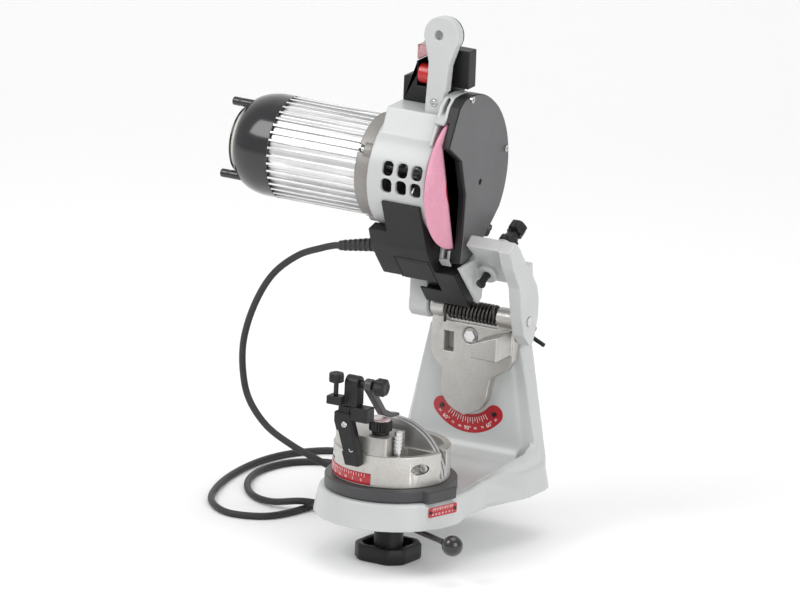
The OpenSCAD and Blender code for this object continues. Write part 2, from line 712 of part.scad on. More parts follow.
pad_z = 396;           // top of the pad that carries handle and switch, head raised
screw_places = [[-236, 22], [-82, 33], [-150, 80]];

module head_screws() color(steel) {
    for (p = screw_places)
        on_head() translate([cover_x1, p.x, p.y]) rotate([0, 90, 0]) cap_screw(3.4, 2.4);
    for (a = [45:90:315])
        on_axle(drum_x0 - 10) rotate(a) translate([barrel_r - 1, 0, 0]) mirror([0, 0, 1]) cap_screw(3.4, 4);
}

module motor_flange() color("#8f8680") on_axle(flange_x0) difference() {
    union() {
        cylinder(r = barrel_r + 1.5, h = flange_len);
        for (a = [45:90:315]) rotate(a) translate([barrel_r - 1, 0, flange_len - 10]) cylinder(r = 7, h = 10);
    }
    for (a = [45:90:315]) rotate(a) translate([barrel_r - 1, 0, -1]) cylinder(r = 4.4, h = flange_len - 9);
    translate([0, 0, -1]) cylinder(r = barrel_r - rib_h - barrel_wall, h = flange_len - 7);
    translate([0, 0, -1]) cylinder(r = 17.5, h = flange_len + 2);
}

module motor_barrel() color(polished) on_axle(barrel_x0) difference() {
    union() {
        cylinder(r = barrel_r - rib_h, h = barrel_len);
        for (i = [0:rib_count - 1])
            rotate(i * 360 / rib_count) translate([barrel_r - rib_h - 1, -1.2, 0]) cube([rib_h + 1, 2.4, barrel_len]);
    }
    translate([0, 0, -1]) cylinder(r = barrel_r - rib_h - barrel_wall, h = barrel_len + 2);
}

peg_r = 43;

module fan_cowl() color(black_moulding) on_axle(cowl_x0) difference() {
    union() {
        rotate_extrude() polygon([[32, 0], [35, 0], [44, 10], [50, 24], [barrel_r, 40], [barrel_r, cowl_len],
            [barrel_r - 3, cowl_len], [barrel_r - 3, 41], [47, 26], [41.5, 12], [32, 3]]);
        for (a = [150, 270, 30])
            rotate(a) translate([peg_r, 0, -9]) cylinder(r = 4.5, h = 26);
        translate([0, 0, 1]) for (a = [0:30:150]) rotate(a) translate([-33, -1, 0]) cube([66, 2, 3]);
        for (r = [10, 18, 26]) translate([0, 0, 1]) ring(r + 1, r - 1, 3);
    }
}

core_x0 = barrel_x0 + 32;

module stator_core() color("#7b7f84") on_axle(core_x0) difference() {
    cylinder(r = barrel_r - rib_h - barrel_wall, h = stator_len);
    translate([0, 0, -1]) cylinder(d = stator_bore_d, h = stator_len + 2);
    for (a = [0:30:330])
        rotate(a) translate([stator_bore_d / 2 + 8, 0, -1]) cylinder(r = 4, h = stator_len + 2);
}

module stator_windings() color("#b5652a") on_axle(core_x0) {
    for (a = [0:30:330])
        rotate(a) translate([stator_bore_d / 2 + 8, 0, -6]) cylinder(r = 3.9, h = stator_len + 12);
    translate([0, 0, -15]) ring(stator_bore_d / 2 + 15, stator_bore_d / 2 + 1, 10);
    translate([0, 0, stator_len + 5]) ring(stator_bore_d / 2 + 15, stator_bore_d / 2 + 1, 10);
}

front_bearing_x = flange_x0 + flange_len - 10;
rear_bearing_x = barrel_x0 + 2;
bearing_h = 10;

module motor_bearings() color(steel) {
    on_axle(front_bearing_x) ring(17.5, shaft_d / 2 + run_gap, bearing_h);
    on_axle(rear_bearing_x) {
        ring(17.5, shaft_d / 2 + run_gap, bearing_h);
        translate([0, 0, 1]) ring(barrel_r - rib_h - barrel_wall, 17.5, 4);
    }
}

module motor_shaft() color(steel) on_axle(barrel_x0 - 30) {
    cylinder(d = shaft_d, h = -drum_x1 + 4 - barrel_x0 + 30 - 22);
    translate([0, 0, 20]) cylinder(d = 12, h = 30 - barrel_x0 - 20 + 10);
}

module rotor_core() color("#8a8f94") on_axle(core_x0 - 1) difference() {
    cylinder(r = stator_bore_d / 2 - air_gap, h = stator_len + 2);
    translate([0, 0, -1]) cylinder(d = shaft_d, h = stator_len + 4);
}

module cooling_fan() color(black_moulding) on_axle(barrel_x0 - 28) difference() {
    union() {
        cylinder(r = 12, h = 18);
        translate([0, 0, 16]) cylinder(r = 43, h = 2);
        for (a = [0:40:320]) rotate(a) translate([8, -1, 0]) cube([30, 2, 17]);
    }
    translate([0, 0, -1]) cylinder(d = shaft_d, h = 22);
}

module wheel_flanges() color(steel) {
    on_axle(-wheel_t / 2 - 4) ring(20, 6, 4);
    on_axle(wheel_t / 2) ring(15, 6, 1);
    on_axle(-wheel_t / 2) ring(wheel_bore_d / 2 - 0.02, 6, wheel_t);
}

module grinding_wheel() color(stone_pink) on_axle(-wheel_t / 2)
    rotate_extrude() polygon([[wheel_bore_d / 2, 0], [wheel_d / 2 - 2, 0], [wheel_d / 2, 1.6],
        [wheel_d / 2, wheel_t - 1.6], [wheel_d / 2 - 2, wheel_t], [wheel_bore_d / 2, wheel_t]]);

module wheel_label() color(scale_red) on_axle(wheel_t / 2) ring(32, 15.2, 0.4);

module wheel_nut() color(steel) on_axle(wheel_t / 2 + 1) difference() {
    cylinder(r = 8.8, h = 5.2, $fn = 6);
    translate([0, 0, -1]) cylinder(d = 12, h = 8);
}

module wheel_cover() color(black_moulding) on_head() difference() {
    union() {
        along_x(0, cover_x1 - 1.5) difference() {
            guard_profile();
            offset(delta = -3) guard_profile();
            polygon(concat(lower_edge, [[-60, -120], [-290, -120], [-290, 30], [-246, 12]]));
        }
        along_x(cover_band_x, cover_x1 - 1.5) difference() {
            guard_profile();
            offset(delta = -2) guard_profile();
        }
        along_x(cover_x1 - 2.7, cover_x1 - 1.5) guard_profile();
        along_x(cover_band_x, cover_x1 - 1.5) translate([-77, 34]) circle(r = 6);
    }
    translate([-1, -axle_reach, axle_rise]) rotate([0, 90, 0])
        cylinder(r = wheel_d / 2 + 2.5, h = cover_band_x + 1);
    translate([0, -axle_reach, axle_rise]) rotate([0, 90, 0]) cylinder(r = 10, h = cover_x1 - 3);
}

module cover_plate() color(dark_grey) on_head()
    along_x(cover_x1 - 1.5, cover_x1) difference() {
        offset(delta = -1.2) guard_profile();
        translate([-139, 25]) circle(r = 3.4);
    }

module spark_deflector() color("#d8d8dc") on_head()
    along_x(-drum_len * 0.09 - 1.8, 3) polygon([[-77, -34], [-68, -30], [-67, -31.5], [-76, -36.5]]);

// ---------- electric box ----------

box_under = [[-146, -58.5], [-91, -51], [-71, -43.5], [-11, -13]];

module box_profile() difference() {
    polygon(concat(box_under, [[-16, arm_floor], [-92, arm_floor], [-150, -10]]));
    translate([-axle_reach, axle_rise]) circle(r = drum_r + 0.2);
}

module box_inner() difference() {
    polygon([[-134, -54.5], [-91, -48], [-72, -41], [-22, -15.5], [-26, -5], [-88, -5], [-140, -20]]);
    translate([-axle_reach, axle_rise]) circle(r = drum_r + 3);
}

box_x = [-57, 10];
box_front_x = drum_x1 - plate_t - 0.4;   // left of here the box passes under the drum
box_front_y = -61.5;                     // right of it, the box keeps clear of the guard
box_wall = 3;
lid_gap = 0.2;

module lid_zone(grow) {
    polygon([[-76 - grow, -70], [-76 - grow, -42.6 + grow], [-72, -41 + grow],
        [-32 + grow, -20.6 + grow], [-32 + grow, -70]]);
}

module electric_box() color(black_moulding) on_head() difference() {
    union() {
        along_x(box_x[0], box_front_x) box_profile();
        along_x(box_front_x - 1, box_x[1]) intersection() {
            box_profile();
            translate([box_front_y, -60]) square([-box_front_y, 60 + arm_floor]);
        }
        along_x(-78, box_x[0] + 0.5) intersection() {
            box_profile();
            translate([-108, -60]) square([62, 60 + arm_floor]);
        }
    }
    along_x(box_x[0] + box_wall, box_front_x - box_wall) box_inner();
    along_x(-20, box_x[1] - box_wall) intersection() {
        box_inner();
        translate([box_front_y + box_wall, -60]) square([60, 70]);
    }
    along_x(-75, -53) intersection() {
        box_inner();
        translate([-104, -60]) square([54, 70]);
    }
    along_x(box_x[0] - 1, ear_l[0] - 1) translate([-44, -40]) square([60, 60]);
    along_x(box_x[0] + box_wall - lid_gap, box_front_x - box_wall + lid_gap) lid_zone(lid_gap);
}

module box_lid() color("#26272a") on_head() intersection() {
    along_x(box_x[0] + box_wall, box_front_x - box_wall) lid_zone(0);
    along_x(box_x[0], box_x[1]) box_profile();
    translate([-200, -200, -70]) cube([400, 156, 200]);
}

relief_drop = 11;

module strain_relief() color(black_moulding) placed() translate(relief_root) rotate([0, -90 - relief_drop, 0]) {
    difference() {
        union() {
            cylinder(r1 = 7, r2 = 5, h = relief_len);
            for (i = [0:5]) translate([0, 0, 6 + i * 6]) cylinder(r = 7 - i * 0.25, h = 3);
            translate([0, 0, -3]) cylinder(r = 8, h = 6);
        }
        translate([3, 0, -8]) rotate([0, relief_drop, 0]) translate([-20, -20, -2]) cube([40, 40, 10]);
    }
}

module run_capacitor() color("#d9d9d4") on_head() translate([-50, -83, -30]) rotate([0, 90, 0])
    cylinder(r = 6.5, h = 32);

module terminal_block() color("#e6e2d8") on_head() translate([-36, -57, -16]) difference() {
    cube([34, 14, 9]);
    for (i = [0:3]) translate([5 + i * 8, 7, 4]) cylinder(r = 2.4, h = 8);
}

// ---------- handle and switch ----------

handle_lean = 7;
handle_foot = [-21, 112, pad_z];
handle_head_z = 79;
handle_neck = 23;

module on_handle() {
    placed() translate(handle_foot) rotate([-handle_lean, 0, 0]) children();
}

module handle_shell(y0, y1, grow) {
    along_y(y0, y1) translate([0, handle_head_z]) circle(r = handle_r + grow);
    along_y(y0, y1) polygon([[handle_neck / 2 - 1 + grow, -20], [handle_neck / 2 + grow, 49],
        [handle_r + grow - 1.5, handle_head_z - 6], [1.5 - handle_r - grow, handle_head_z - 6],
        [-handle_neck / 2 - grow, 49], [1 - handle_neck / 2 - grow, -20]]);
}

// The handle's foot stands on the housing's pad and clears the guard.
module handle_room() {
    placed() along_y(60, 150) polygon([[-cut, pad_z], [drum_x1 - plate_t, pad_z],
        [drum_x1 - plate_t, pad_z + 22], [cut, pad_z + 22], [cut, pad_z + 120], [-cut, pad_z + 120]]);
}

module handle_front() color(paint_grey) difference() {
    intersection() {
        on_handle() handle_shell(-handle_t, 0, 0);
        handle_room();
    }
    on_handle() translate([-3, 0, handle_head_z]) rotate([90, 0, 0]) translate([0, 0, 4]) cylinder(r = 5, h = cut);
    on_handle() translate([-1, -handle_t - 1, 9]) rotate([-90, 0, 0]) cylinder(r = 4.4, h = 3);
}

module handle_back() color(black_moulding) intersection() {
    on_handle() handle_shell(0, 4, -0.8);
    handle_room();
}

switch_y = 126;
rocker_x = -46;
rocker_z = pad_z + 30;

hood_pin = [145, pad_z + 59.5];   // the hood's hinge pin, in Y and Z

module hood_pin_along(x, h, r) {
    translate([x, hood_pin.x, hood_pin.y]) rotate([0, 90, 0]) cylinder(r = r, h = h);
}

module switch_box() color(black_moulding) placed() difference() {
    union() {
        along_y(switch_y, switch_y + 26) polygon([[drum_x0 + 4, pad_z], [-13, pad_z], [-13, pad_z + 56],
            [-38, pad_z + 56], [-38, pad_z + 44], [-57, pad_z + 44], [-57, pad_z + 30], [drum_x0 + 4, pad_z + 26]]);
        translate([-14, switch_y, pad_z + 23]) cube([18, 16, 40]);
        translate([rocker_x + 7.5, hood_pin.x - 4, pad_z + 50]) cube([3, 8, hood_pin.y - pad_z - 46]);
    }
    hood_pin_along(rocker_x + 6, 8, 1.5 + run_gap);
    translate([rocker_x - 9, switch_y - 1, rocker_z - 12]) cube([16.6, 22, 40]);
    translate([drum_x0 + 8, switch_y + 3, pad_z + 3]) cube([18, 20, 18]);
}

module switch_rocker() color(scale_red) placed() difference() {
    translate([rocker_x - 8.2, switch_y + 9, rocker_z]) rotate([0, 90, 0]) cylinder(r = 11, h = 15);
    translate([rocker_x - 9, switch_y + 9, rocker_z]) rotate([0, 90, 0]) cylinder(r = 1.5, h = 30);
}

module switch_hood() color("#e8b8bc") placed() {
    difference() {
        translate([rocker_x - 10.8, switch_y + 1.5, pad_z + 44.9]) cube([switch_w - 19.4, 22, 16.4]);
        translate([rocker_x - 9.6, switch_y, pad_z + 40]) cube([switch_w - 21.8, 22.3, 20]);
    }
    hood_pin_along(rocker_x - 11.4, 21.6, 1.5);
}

// ---------- depth stop ----------

module on_stop() {
    on_head() translate(stop_pt) rotate([screw_lean, 0, 0]) children();
}

module stop_screw() color(black_moulding) on_stop() {
    translate([0, 0, -36]) cylinder(r = 4, h = 82);
    translate([0, 0, -37]) cylinder(r = 5, h = 3);
    translate([0, 0, 42]) hand_knob(9.5, 13, 6);
}

module stop_lock_knob() color(black_moulding) on_stop() translate([0, 0, 22.3]) difference() {
    union() {
        hand_knob(11, 9, 6);
        cylinder(r = 7.5, h = 14);
    }
    translate([0, 0, -1]) cylinder(r = 4 + run_gap, h = 20);
}

// ---------- power cord ----------

cord_rest = -45;       // height of the cord's centre where it lies
cord_over = -37.4;     // and where it passes over itself
relief_dir = [-cos(relief_drop), 0, -sin(relief_drop)];
relief_root = [-78, 96.8, 247.7];
plug_start = [-88, 272, cord_rest];
cord_start = relief_root + (relief_len + 0.4) * relief_dir;
cord_route = concat([cord_start, cord_start + cord_d * relief_dir], [
    [-142, 97, 233], [-170, 99, 220], [-199, 101, 195], [-220, 104, 160], [-233, 107, 120],
    [-234, 109, 85], [-226, 110, 55], [-205, 111, 30], [-175, 112, 14], [-145, 116, 2],
    [-121, 132, -14], [-105, 158, -34], [-100, 190, cord_rest], [-102, 222, cord_rest],
    [-114, 258, cord_rest], [-142, 288, cord_rest], [-182, 304, cord_rest], [-226, 303, cord_rest],
    [-256, 272, cord_rest], [-270, 228, cord_rest], [-271, 170, cord_rest], [-260, 110, cord_rest],
    [-240, 64, cord_rest], [-206, 37, cord_rest], [-169, 48, cord_rest], [-152, 88, cord_rest],
    [-150, 134, cord_rest], [-156, 190, cord_rest], [-170, 238, cord_rest], [-204, 262, cord_rest],
    [-241, 240, cord_rest], [-254, 194, cord_rest], [-244, 148, cord_rest], [-218, 110, cord_rest],
    [-186, 93, cord_rest + 2], [-152, 96, cord_over], [-126, 120, cord_rest + 2], [-120, 160, cord_rest],
    [-118, 192, cord_rest + 1], [-104, 225, cord_over], [-91, 251, cord_rest + 1.5],
    [-88, 266, cord_rest], plug_start]);

function catmull(p0, p1, p2, p3, t) = 0.5 * (2 * p1 + (p2 - p0) * t
    + (2 * p0 - 5 * p1 + 4 * p2 - p3) * t * t + (3 * p1 - p0 - 3 * p2 + p3) * t * t * t);
function smooth(p, steps) = concat([for (i = [0:len(p) - 2], s = [0:steps - 1])
    catmull(p[max(i - 1, 0)], p[i], p[i + 1], p[min(i + 2, len(p) - 1)], s / steps)], [p[len(p) - 1]]);
function path_length(p, i = 0) = i > len(p) - 2 ? 0 : norm(p[i + 1] - p[i]) + path_length(p, i + 1);

cord_path = smooth(cord_route, 2);
echo(cord_length = path_length(smooth(cord_route, 8)));

module cord() color(black_moulding) placed() tube(cord_path, cord_d / 2, 8);

module plug() color(black_moulding) placed() translate(plug_start + [0, 0.4, 0]) rotate([-90, 0, 0]) {
    cylinder(r1 = 5, r2 = 8, h = 24);
    difference() {
        translate([0, 0, 24]) cylinder(r = 16, h = 26);
        translate([-30, 3.4, 20]) cube([60, 30, 40]);
    }
    for (s = [-1, 1]) translate([s * 9.5, -6, 50]) cylinder(r = 2.4, h = 19);
}

base_casting();
vise_scale_plate();
tilt_scale_plate();
scale_screws();
vise_ring();
vise_body();
vise_dial();
vise_stud();
fixed_jaw();
moving_jaw();
jaw_bolts();
clamp_post();
chain_stop_arm();
chain_stop_block();
chain_pawl();
stop_thumb_screw();
cross_knob();
advance_knob();
vise_lock_knob();
clamp_lever();
tilt_bracket();
bracket_bolt();
pivot_bolt();
tilt_lock_lever();
hinge_shaft();
torsion_spring();
spring_sleeve();
swing_arm();
motor_housing();
head_screws();
motor_flange();
motor_barrel();
fan_cowl();
stator_core();
stator_windings();
motor_bearings();
motor_shaft();
rotor_core();
cooling_fan();
wheel_flanges();
grinding_wheel();
wheel_label();
wheel_nut();
wheel_cover();
cover_plate();
spark_deflector();
electric_box();
box_lid();
strain_relief();
run_capacitor();
terminal_block();
handle_front();
handle_back();
switch_box();
switch_rocker();
switch_hood();
stop_screw();
stop_lock_knob();
cord();
plug();
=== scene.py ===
import json
import math
import bmesh
import bpy
import numpy as np
from mathutils import Matrix


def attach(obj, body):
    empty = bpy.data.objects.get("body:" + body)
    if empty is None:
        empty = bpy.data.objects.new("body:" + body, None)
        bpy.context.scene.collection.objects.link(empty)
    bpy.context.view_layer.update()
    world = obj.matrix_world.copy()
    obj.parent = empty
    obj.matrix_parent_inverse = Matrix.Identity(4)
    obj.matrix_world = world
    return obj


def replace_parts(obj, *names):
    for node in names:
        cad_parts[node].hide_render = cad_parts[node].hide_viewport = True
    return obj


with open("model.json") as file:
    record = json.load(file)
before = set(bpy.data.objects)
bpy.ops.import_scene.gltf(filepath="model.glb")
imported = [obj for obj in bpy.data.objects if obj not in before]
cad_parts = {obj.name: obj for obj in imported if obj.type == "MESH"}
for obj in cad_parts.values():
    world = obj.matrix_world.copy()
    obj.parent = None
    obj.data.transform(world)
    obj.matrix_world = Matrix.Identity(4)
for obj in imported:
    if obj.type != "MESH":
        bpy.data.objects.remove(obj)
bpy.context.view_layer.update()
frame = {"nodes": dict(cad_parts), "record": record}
print("frame loaded")

scene = bpy.context.scene
scene.view_settings.view_transform = "Standard"


hinge = dict(back=153, height=178, raised=-76, axleReach=150, axleRise=5, boltBack=118)


def bench(points):
    # millimetres from the vise axis to metres in the frame
    return (np.asarray(points, float) - [0, hinge["boltBack"], 0]) / 1000


def onHead(points):
    # millimetres from the hinge with the head lowered, turned up to where it stands
    p = np.asarray(points, float)
    turn = math.radians(hinge["raised"])
    y = p[..., 1] * math.cos(turn) - p[..., 2] * math.sin(turn)
    z = p[..., 1] * math.sin(turn) + p[..., 2] * math.cos(turn)
    return bench(np.stack([p[..., 0], y + hinge["back"], z + hinge["height"]], -1))


def onAxle(points):
    # millimetres along the motor shaft in the third number, and across it in the other two
    p = np.asarray(points, float)
    return onHead(np.stack([p[..., 2], p[..., 1] - hinge["axleReach"],
                            hinge["axleRise"] - p[..., 0]], -1))


view = dict(azimuth=28, elevation=16, roll=2.3, width=0.8163, right=0.01056, up=0.2158, away=3.0)


def addCamera():
    a, e, r = (math.radians(view[k]) for k in ("azimuth", "elevation", "roll"))
    side = np.array([math.cos(a), math.sin(a), 0])
    rise = np.array([-math.sin(a) * math.sin(e), math.cos(a) * math.sin(e), math.cos(e)])
    right = side * math.cos(r) + rise * math.sin(r)
    up = rise * math.cos(r) - side * math.sin(r)
    back = np.cross(right, up)
    lens = bpy.data.cameras.new("camera")
    lens.type = "ORTHO"
    lens.ortho_scale = view["width"]
    lens.clip_end = 20
    camera = bpy.data.objects.new("camera", lens)
    scene.collection.objects.link(camera)
    place = bench([0, 0, 0]) + right * view["right"] + up * view["up"] + back * view["away"]
    matrix = np.eye(4)
    matrix[:3] = np.stack([right, up, back, place], 1)
    camera.matrix_world = Matrix(matrix.tolist())
    scene.camera = camera


addCamera()


class Wire:
    # one socket of a shader, so that maths on sockets reads as maths
    def __init__(self, tree, socket=None):
        self.tree = tree
        self.socket = socket

    def add(self, kind, settings=None, values=None, take=0):
        node = self.tree.nodes.new("ShaderNode" + kind)
        for key, value in (settings or {}).items():
            if key == "stops":
                ends = node.color_ramp.elements
                ends[0].position, ends[1].position = value[0][0], value[-1][0]
                ends[0].color, ends[1].color = (*value[0][1], 1), (*value[-1][1], 1)
                for where, colour in value[1:-1]:
                    ends.new(where).color = (*colour, 1)
            else:
                setattr(node, key, value)
        for key, value in (values or {}).items():
            if isinstance(value, Wire):
                self.tree.links.new(value.socket, node.inputs[key])
            else:
                node.inputs[key].default_value = value
        return Wire(self.tree, node.outputs[take])

    def maths(self, operation, *terms):
        return self.add("Math", dict(operation=operation), dict(enumerate(terms)))

    def __add__(self, other):
        return self.maths("ADD", self, other)

    def __sub__(self, other):
        return self.maths("SUBTRACT", self, other)

    def __rsub__(self, other):
        return self.maths("SUBTRACT", other, self)

    def __mul__(self, other):
        return self.maths("MULTIPLY", self, other)

    __radd__ = __add__
    __rmul__ = __mul__

    def clipped(self):
        return self.maths("MAXIMUM", self.maths("MINIMUM", self, 1.0), 0.0)

    def between(self, low, high):
        # 0 below low, 1 above high and a straight rise between them
        return ((self - low) * (1 / (high - low))).clipped()

    def noise(self, scale, detail=3.0, roughness=0.55):
        sockets = {"Vector": self, "Scale": scale, "Detail": detail, "Roughness": roughness}
        return self.add("TexNoise", None, sockets, "Fac")

    def stretched(self, factors):
        return self.add("Mapping", dict(vector_type="POINT"), {"Vector": self, "Scale": factors},
                        "Vector")

    def mixed(self, first, second):
        # colours mixed by this factor
        sides = [s if isinstance(s, Wire) else (*s, 1) for s in (first, second)]
        return self.add("Mix", dict(data_type="RGBA"), {0: self, 6: sides[0], 7: sides[1]}, 2)


def paintOf(name, recipe, **fixed):
    # a material whose shader has fixed settings, and whose recipe adds what varies
    made = bpy.data.materials.new(name)
    made.use_nodes = True
    tree = made.node_tree
    shader = tree.nodes["Principled BSDF"]
    for key, value in fixed.items():
        socket = shader.inputs[key.replace("_", " ")]
        socket.default_value = (*value, 1) if isinstance(value, tuple) and len(value) == 3 else value
    place = Wire(tree).add("TexCoord", take="Object")
    for key, wire in recipe(place).items():
        tree.links.new(wire.socket, shader.inputs[key])
    return made


def bumped(place, height, distance, strength=1.0):
    return place.add("Bump", None, {"Height": height, "Distance": distance, "Strength": strength},
                     "Normal")


def surface(name, colour, shade, rough, grain, depth, spread=0.06, cloud=14, speck=0.0, mottled=0.0,
            **fixed):
    # broad tint clouds, a fine grain in the relief and a worn, uneven gloss
    def recipe(place):
        clouds = place.noise(cloud, 4.0)
        fine = place.noise(grain, 2.0, 0.6)
        smudge = place.noise(cloud * 4.3, 5.0, 0.7)
        base = clouds.between(0.3, 0.72).mixed(colour, shade)
        if speck:
            dots = place.noise(grain * 0.35, 2.0).between(0.56, 0.7) * speck
            base = dots.mixed(base, tuple(c * 0.45 for c in shade))
        gloss = rough + (smudge - 0.5) * (spread * 3) + (fine - 0.5) * spread
        relief = fine + smudge * mottled
        return {"Base Color": base, "Roughness": gloss, "Normal": bumped(place, relief, depth)}
    return paintOf(name, recipe, **fixed)


def turnedMetal(name, colour, shade, rough, lines, depth, **fixed):
    # fine tool marks along one direction, over uneven gloss
    def recipe(place):
        marks = place.stretched(lines).noise(1.0, 3.0, 0.65)
        smudge = place.noise(40.0, 5.0, 0.65)
        base = smudge.between(0.3, 0.75).mixed(colour, shade)
        gloss = rough + (marks - 0.5) * 0.22 + (smudge - 0.5) * 0.16
        return {"Base Color": base, "Roughness": gloss, "Normal": bumped(place, marks, depth)}
    return paintOf(name, recipe, Metallic=1.0, **fixed)


finishes = dict(
    castPaint=surface("castPaint", (0.53, 0.545, 0.54), (0.49, 0.505, 0.5), 0.34, 900, 0.00006,
                      spread=0.04, mottled=2.0, Coat_Weight=0.25, Coat_Roughness=0.18),
    bareAlloy=surface("bareAlloy", (0.6, 0.585, 0.56), (0.48, 0.465, 0.44), 0.4, 1500, 0.00009,
                      spread=0.12, cloud=22, speck=0.25, mottled=1.2, Metallic=0.85),
    ribbedAlloy=turnedMetal("ribbedAlloy", (0.82, 0.82, 0.82), (0.7, 0.7, 0.7), 0.34,
                            (30, 700, 700), 0.00003),
    flangeAlloy=surface("flangeAlloy", (0.34, 0.325, 0.31), (0.27, 0.255, 0.245), 0.48, 1200, 0.00008,
                        spread=0.1, cloud=25, speck=0.2, mottled=1.0, Metallic=0.6),
    jawSteel=turnedMetal("jawSteel", (0.6, 0.6, 0.6), (0.47, 0.47, 0.47), 0.42, (60, 60, 1400),
                         0.00003),
    brightSteel=turnedMetal("brightSteel", (0.7, 0.7, 0.7), (0.52, 0.52, 0.53), 0.25,
                            (300, 300, 900), 0.00002),
    darkSteel=surface("darkSteel", (0.1, 0.095, 0.09), (0.045, 0.042, 0.04), 0.3, 1800, 0.00005,
                      spread=0.1, cloud=60, Metallic=0.9),
    laminations=turnedMetal("laminations", (0.36, 0.37, 0.39), (0.25, 0.25, 0.27), 0.45,
                            (1800, 20, 20), 0.00012),
    copper=turnedMetal("copper", (0.62, 0.27, 0.1), (0.45, 0.18, 0.06), 0.3, (80, 1600, 1600), 0.00015),
    blackPlastic=surface("blackPlastic", (0.010, 0.010, 0.011), (0.016, 0.016, 0.017), 0.4, 1500,
                         0.00012,
                         spread=0.08, mottled=0.4, Specular_IOR_Level=0.35),
    glossBlack=surface("glossBlack", (0.012, 0.012, 0.014), (0.018, 0.018, 0.02), 0.16, 600, 0.00003,
                       spread=0.06, mottled=0.8, Coat_Weight=0.4, Coat_Roughness=0.08),
    satinGrey=surface("satinGrey", (0.05, 0.051, 0.054), (0.04, 0.04, 0.043), 0.36, 1700, 0.00006,
                      spread=0.05, mottled=0.5),
    coverGrey=surface("coverGrey", (0.115, 0.116, 0.12), (0.095, 0.096, 0.1), 0.45, 1300, 0.00008,
                      spread=0.06, mottled=0.6),
    softBlack=surface("softBlack", (0.018, 0.018, 0.019), (0.03, 0.03, 0.031), 0.5, 1100, 0.00006,
                      spread=0.08, mottled=0.5),
    redPlate=surface("redPlate", (0.46, 0.012, 0.022), (0.37, 0.01, 0.018), 0.32, 1200, 0.00003,
                     spread=0.06, Coat_Weight=0.3),
    whiteInk=surface("whiteInk", (0.86, 0.85, 0.83), (0.78, 0.77, 0.75), 0.45, 1500, 0.00002),
    redPlastic=surface("redPlastic", (0.62, 0.02, 0.025), (0.5, 0.015, 0.02), 0.25, 900, 0.00003,
                       Coat_Weight=0.3),
    clearHood=surface("clearHood", (0.95, 0.62, 0.64), (0.9, 0.55, 0.58), 0.12, 700, 0.00003,
                      Transmission_Weight=0.75, IOR=1.45),
    clearLip=surface("clearLip", (0.78, 0.78, 0.8), (0.7, 0.7, 0.73), 0.18, 700, 0.00003,
                     Transmission_Weight=0.5, IOR=1.45),
    stone=surface("stone", (0.78, 0.36, 0.47), (0.7, 0.3, 0.41), 0.85, 2200, 0.00035,
                  spread=0.1, cloud=30, speck=0.5, mottled=0.3),
    rosyInlay=surface("rosyInlay", (0.74, 0.5, 0.52), (0.8, 0.62, 0.63), 0.3, 900, 0.00003,
                      Coat_Weight=0.3),
    paleMoulding=surface("paleMoulding", (0.7, 0.68, 0.63), (0.62, 0.6, 0.56), 0.45, 1200, 0.00005),
)
print("finishes mixed")


def finished(piece, body, finish, smooth=40):
    # gives the piece its material, its shading and its place in the assembly
    piece.data.materials.clear()
    piece.data.materials.append(finishes[finish])
    piece.data.shade_smooth()
    if smooth < 180:
        piece.data.set_sharp_from_angle(angle=math.radians(smooth))
    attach(piece, body)
    return piece


def meshPiece(name, points, faces, closed=True):
    mesh = bpy.data.meshes.new(name)
    mesh.from_pydata(points.reshape(-1, 3).tolist(), [], [list(map(int, f)) for f in faces])
    work = bmesh.new()
    work.from_mesh(mesh)
    bmesh.ops.remove_doubles(work, verts=work.verts, dist=1e-6)
    bmesh.ops.dissolve_degenerate(work, edges=work.edges, dist=1e-7)
    if closed:
        bmesh.ops.recalc_face_normals(work, faces=work.faces)
    work.to_mesh(mesh)
    work.free()
    piece = bpy.data.objects.new(name, mesh)
    scene.collection.objects.link(piece)
    return piece


def gridFaces(rows, columns, wrapRows, wrapColumns, offset=0):
    i = np.arange(rows if wrapRows else rows - 1)[:, None]
    j = np.arange(columns if wrapColumns else columns - 1)[None, :]
    down, across = (i + 1) % rows, (j + 1) % columns
    corners = [i * columns + j, i * columns + across, down * columns + across, down * columns + j]
    return np.stack([c + 0 * (i + j) for c in corners], -1).reshape(-1, 4) + offset


def lathe(profile, at, along, place=bench, steps=72, lobes=0, depth=0.0, core=0.0):
    # A profile of (radius, height) turned about an axis. With lobes, the part of the radius beyond
    # the core swells and shrinks as a cosine of the angle times the number of lobes.
    profile = np.asarray(profile, float)
    theta = np.linspace(0, 2 * math.pi, steps, endpoint=False)
    along = np.asarray(along, float) / np.linalg.norm(along)
    first = np.cross(along, [0, 0, 1.0] if abs(along[2]) < 0.9 else [0, 1.0, 0])
    first /= np.linalg.norm(first)
    second = np.cross(along, first)
    radius = profile[:, 0][:, None] + 0 * theta
    beyond = np.clip(radius - core, 0, None)
    radius = radius - beyond * depth * (0.5 - 0.5 * np.cos(lobes * theta))
    points = (np.asarray(at, float) + radius[..., None] * (np.cos(theta)[:, None] * first
              + np.sin(theta)[:, None] * second) + profile[:, 1][:, None, None] * along)
    return place(points), gridFaces(len(profile), steps, False, True)


def eased(corners, radius, steps=4):
    # A profile whose inner corners become arcs: each is a quadratic curve between two points set
    # back from the corner by the radius, or by less than half of a short side.
    corners = np.asarray(corners, float)
    out = [corners[0]]
    for before, here, after in zip(corners[:-2], corners[1:-1], corners[2:]):
        into, away = before - here, after - here
        a, b = np.linalg.norm(into), np.linalg.norm(away)
        start = here + into / a * min(radius, a * 0.45)
        end = here + away / b * min(radius, b * 0.45)
        t = np.linspace(0, 1, steps)[:, None]
        out.extend((1 - t) ** 2 * start + 2 * t * (1 - t) * here + t ** 2 * end)
    out.append(corners[-1])
    return np.array(out)


